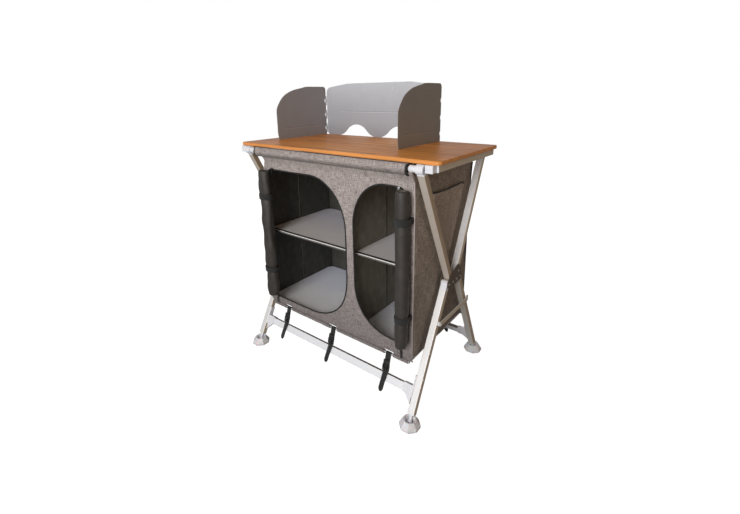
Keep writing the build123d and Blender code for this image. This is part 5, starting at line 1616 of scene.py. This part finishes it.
class CAMPKITCHEN_OT_zips(CampKitchenPiece, bpy.types.Operator):
    """Makes the zip sliders with their pulls"""

    bl_idname = "camp_kitchen.zips"
    bl_label = "Zip sliders"

    def execute(self, context):
        made = bmesh.new()
        y = ZIP_Y
        for x, z in ZIP_PLACES:
            body = box_at(made, (x, y, z), (8.6, 3.6, 9.5))
            round_edges(made, 1.3, 3, body)
            neck = box_at(made, (x, y - 2.0, z + 0.6), (3.0, 1.6, 7.0))
            round_edges(made, 0.6, 2, neck)
            loop = [(x + 2.2 * math.cos(a), y - 3.0, z - 5.4 + 2.6 * math.sin(a)) for a in even_turns(14)]
            sweep(made, stations(loop, 0.55, closed=True), sides=6, closed=True)
            pull = box_at(made, (x, y - 3.2, z - 13.6), (4.6, 1.2, 12.5))
            round_edges(made, 0.5, 2, pull)
        piece = to_object("zip_sliders_metal", made, [finish_of("zip"), finish_of("buckle")])
        for face in piece.data.polygons:
            face.material_index = int(face.center.x < 0)
        hang(piece, "front", "bright_steel", "zip_sliders")
        tails = trim_mesh()
        for x, lean in TAPE_ENDS:
            path = [
                (x, -188, 214), (x + lean, -190, 202), (x + lean * 1.2, -188.5, 190), (x + lean, -188, 181)
            ]
            sweep(tails, stations(resample(path, 3.0), 3.4, 0.9), sides=8)
        piece = to_object("zip_tape_ends", tails, [finish_of("webbing")])
        hang(piece, "front", "webbing")
        return {"FINISHED"}


LEAN_FROM = 130
LEAN_SPAN = 84
STRAP_LOOP = 5.6
STRAP_LOOP_TURNS = (250, 200, 150, 100, 50)
STRAP_SEAMS = (149, 146)
BUCKLE_LIFT = 3.4
STRAP_PATHS = {
    "front": (
        (-179.5, 168), (-183.2, 152), (-188, 132), (-193.3, 114),
        (-200.4, 98), (-205.6, 80), (-211, 62), (-212.5, 46),
    ),
    "rear": (
        (174.5, 168), (179, 152), (184.6, 132), (190.5, 114),
        (199.0, 98), (204.4, 80), (210.2, 62), (212, 46),
    ),
}


class CAMPKITCHEN_OT_straps(CampKitchenPiece, bpy.types.Operator):
    """Makes the six webbing straps from the hems over the cross bars, with loose tails"""

    bl_idname = "camp_kitchen.straps"
    bl_label = "Buckle straps"

    def execute(self, context):
        width = sizes().strap_width / MM
        for end, way in ENDS:
            straps, seams = [], bmesh.new()
            for number, x in enumerate(STRAP_X):
                lean = STRAP_LEAN[end][number]
                path = [
                    Vector((x, y, z)) + Vector((lean * max(0.0, (LEAN_FROM - z) / LEAN_SPAN) ** 1.4, 0, 0))
                    for y, z in STRAP_PATHS[end][1:]
                ]
                loop = [
                    Vector((x, HEM_Y[end] + way * STRAP_LOOP * math.cos(a), HEM_Z + STRAP_LOOP * math.sin(a)))
                    for a in map(math.radians, STRAP_LOOP_TURNS)
                ]
                line = resample([*loop, *path], 4.0)
                length = sum((b - a).length for a, b in zip(line, line[1:]))
                straps.append(self.ribbon(f"{end}_strap_{number}", line, width, length, way))
                for height in STRAP_SEAMS:
                    at = min(line, key=lambda p, height=height: abs(p.z - height) + (100 if p.z > 160 else 0))
                    ends = [(at.x + side * (width / 2 - 2), at.y + way * 1.3, at.z) for side in (-1, 1)]
                    stitch_row(seams, ends, Vector((0, way, 0)), lift=0.1, length=2.4)
            cloth = join(f"{end}_webbing_straps", straps)
            stitching = to_object(f"{end}_strap_stitching", seams, [finish_of("dark_thread")])
            hang(cloth, end, "webbing", f"{end}_straps")
            hang(stitching, end, "webbing")
        return {"FINISHED"}

    def ribbon(self, name, line, width, length, way):
        """One strap along a line, slightly cupped, with a tapered end."""
        made = cloth_grid(width, length, 2.5)
        count = len(line) - 1

        def place(s, t):
            share = min(0.9999, max(0.0, t / length + 0.5)) * count
            index = int(share)
            at = line[index].lerp(line[index + 1], share - index)
            forward = (line[min(index + 1, count)] - line[max(index - 1, 0)]).normalized()
            outward = forward.cross(Vector((1, 0, 0))).normalized()
            left = length * (0.5 - t / length)
            taper = min(1.0, 0.45 + left / 16)
            narrow = 0.86 if left < length * 0.42 else 1.0
            cup = 0.35 * math.cos(s / width * math.pi) + 0.3 * math.sin(t / 5.5)
            return at + Vector((1, 0, 0)) * s * taper * narrow + outward * cup

        lay(made, place)
        webbing_both_sides = [finish_of("webbing"), finish_of("webbing")]
        return to_object(name, made, webbing_both_sides, lambda c: Vector((0, way, 0.1)), 1.3)


# Centre, size and edge rounding of a buckle's blocks: the socket, the two prongs and the centre bar of the
# plug, its shoulder and bar with their two links, and the socket's own bar.
BUCKLE_BLOCKS = (
    ((0, 0, -7.5), (22.5, 5.4, 15), 1.8),
    ((-10.6, 0, 3.6), (5.0, 5.2, 13), 1.9),
    ((10.6, 0, 3.6), (5.0, 5.2, 13), 1.9),
    ((0, 0, 4.5), (7.0, 3.6, 12), 1.2),
    ((0, 0, 12.0), (26.0, 4.6, 3.6), 1.4),
    ((0, 0.2, 16.4), (25.0, 3.2, 2.4), 1.0),
    ((-11.6, 0, 14.4), (2.6, 3.6, 6.5), 0.9),
    ((11.6, 0, 14.4), (2.6, 3.6, 6.5), 0.9),
    ((0, 0.1, -16.4), (24.0, 3.4, 2.6), 1.0),
)


class CAMPKITCHEN_OT_buckles(CampKitchenPiece, bpy.types.Operator):
    """Makes the six side-release buckles"""

    bl_idname = "camp_kitchen.buckles"
    bl_label = "Buckles"

    def execute(self, context):
        for end, way in ENDS:
            made = bmesh.new()
            upper, lower = STRAP_PATHS[end][1], STRAP_PATHS[end][3]
            forward = Vector((0, lower[0] - upper[0], lower[1] - upper[1])).normalized()
            side = Vector((1, 0, 0))
            normal = forward.cross(side).normalized()
            if normal.y * way < 0:
                normal = -normal
            for x in STRAP_X:
                middle = Vector((x, (upper[0] + lower[0]) / 2, (upper[1] + lower[1]) / 2))
                middle += normal * BUCKLE_LIFT
                self.buckle(made, Matrix.Translation(middle) @ axes(side, normal, forward))
            piece = to_object(f"{end}_side_release_buckles", made, [finish_of("buckle")])
            piece.data.set_sharp_from_angle(angle=math.radians(35))
            hang(piece, end, "buckle_plastic", f"{end}_strap_buckles")
        return {"FINISHED"}

    def buckle(self, made, place):
        """Puts a buckle's rounded blocks in place."""
        for centre, size, width in BUCKLE_BLOCKS:
            verts = box_at(made, centre, size)
            before = set(made.verts) - set(verts)
            round_edges(made, width, 3, verts)
            fresh = [vert for vert in made.verts if vert not in before]
            bmesh.ops.transform(made, matrix=place, verts=fresh)


class CAMPKITCHEN_PT_panel(bpy.types.Panel):
    """Lists the pieces, and the sizes and colours that they are made with"""

    bl_label = "Camp kitchen"
    bl_idname = "CAMPKITCHEN_PT_panel"
    bl_space_type = "VIEW_3D"
    bl_region_type = "UI"
    bl_category = "Camp kitchen"

    def draw(self, context):
        layout = self.layout
        for group in (context.scene.camp_kitchen_sizes, context.scene.camp_kitchen_colours):
            column = layout.column(align=True)
            for name in group.bl_rna.properties.keys():
                if name not in ("rna_type", "name"):
                    column.prop(group, name)
        for operator in OPERATORS:
            layout.operator(operator.bl_idname)


OPERATORS = (
    CAMPKITCHEN_OT_stage,
    CAMPKITCHEN_OT_top,
    CAMPKITCHEN_OT_frame,
    CAMPKITCHEN_OT_mouldings,
    CAMPKITCHEN_OT_steel,
    CAMPKITCHEN_OT_guard,
    CAMPKITCHEN_OT_boards,
    CAMPKITCHEN_OT_front_cloth,
    CAMPKITCHEN_OT_back_cloth,
    CAMPKITCHEN_OT_sleeves,
    CAMPKITCHEN_OT_side_cloths,
    CAMPKITCHEN_OT_inner_cloths,
    CAMPKITCHEN_OT_pockets,
    CAMPKITCHEN_OT_rolls,
    CAMPKITCHEN_OT_zips,
    CAMPKITCHEN_OT_straps,
    CAMPKITCHEN_OT_buckles,
)
CLASSES = (CampKitchenSizes, CampKitchenColours, *OPERATORS, CAMPKITCHEN_PT_panel)


def register():
    """Registers the classes and adds the two groups of settings to the scene."""
    for entry in CLASSES:
        bpy.utils.register_class(entry)
    bpy.types.Scene.camp_kitchen_sizes = bpy.props.PointerProperty(type=CampKitchenSizes)
    bpy.types.Scene.camp_kitchen_colours = bpy.props.PointerProperty(type=CampKitchenColours)


def unregister():
    """Takes the settings and the classes away again."""
    del bpy.types.Scene.camp_kitchen_colours
    del bpy.types.Scene.camp_kitchen_sizes
    for entry in reversed(CLASSES):
        bpy.utils.unregister_class(entry)


def main():
    """Makes every piece in order."""
    register()
    for operator in OPERATORS:
        group, name = operator.bl_idname.split(".")
        getattr(getattr(bpy.ops, group), name)()


if __name__ == "__main__":
    main()
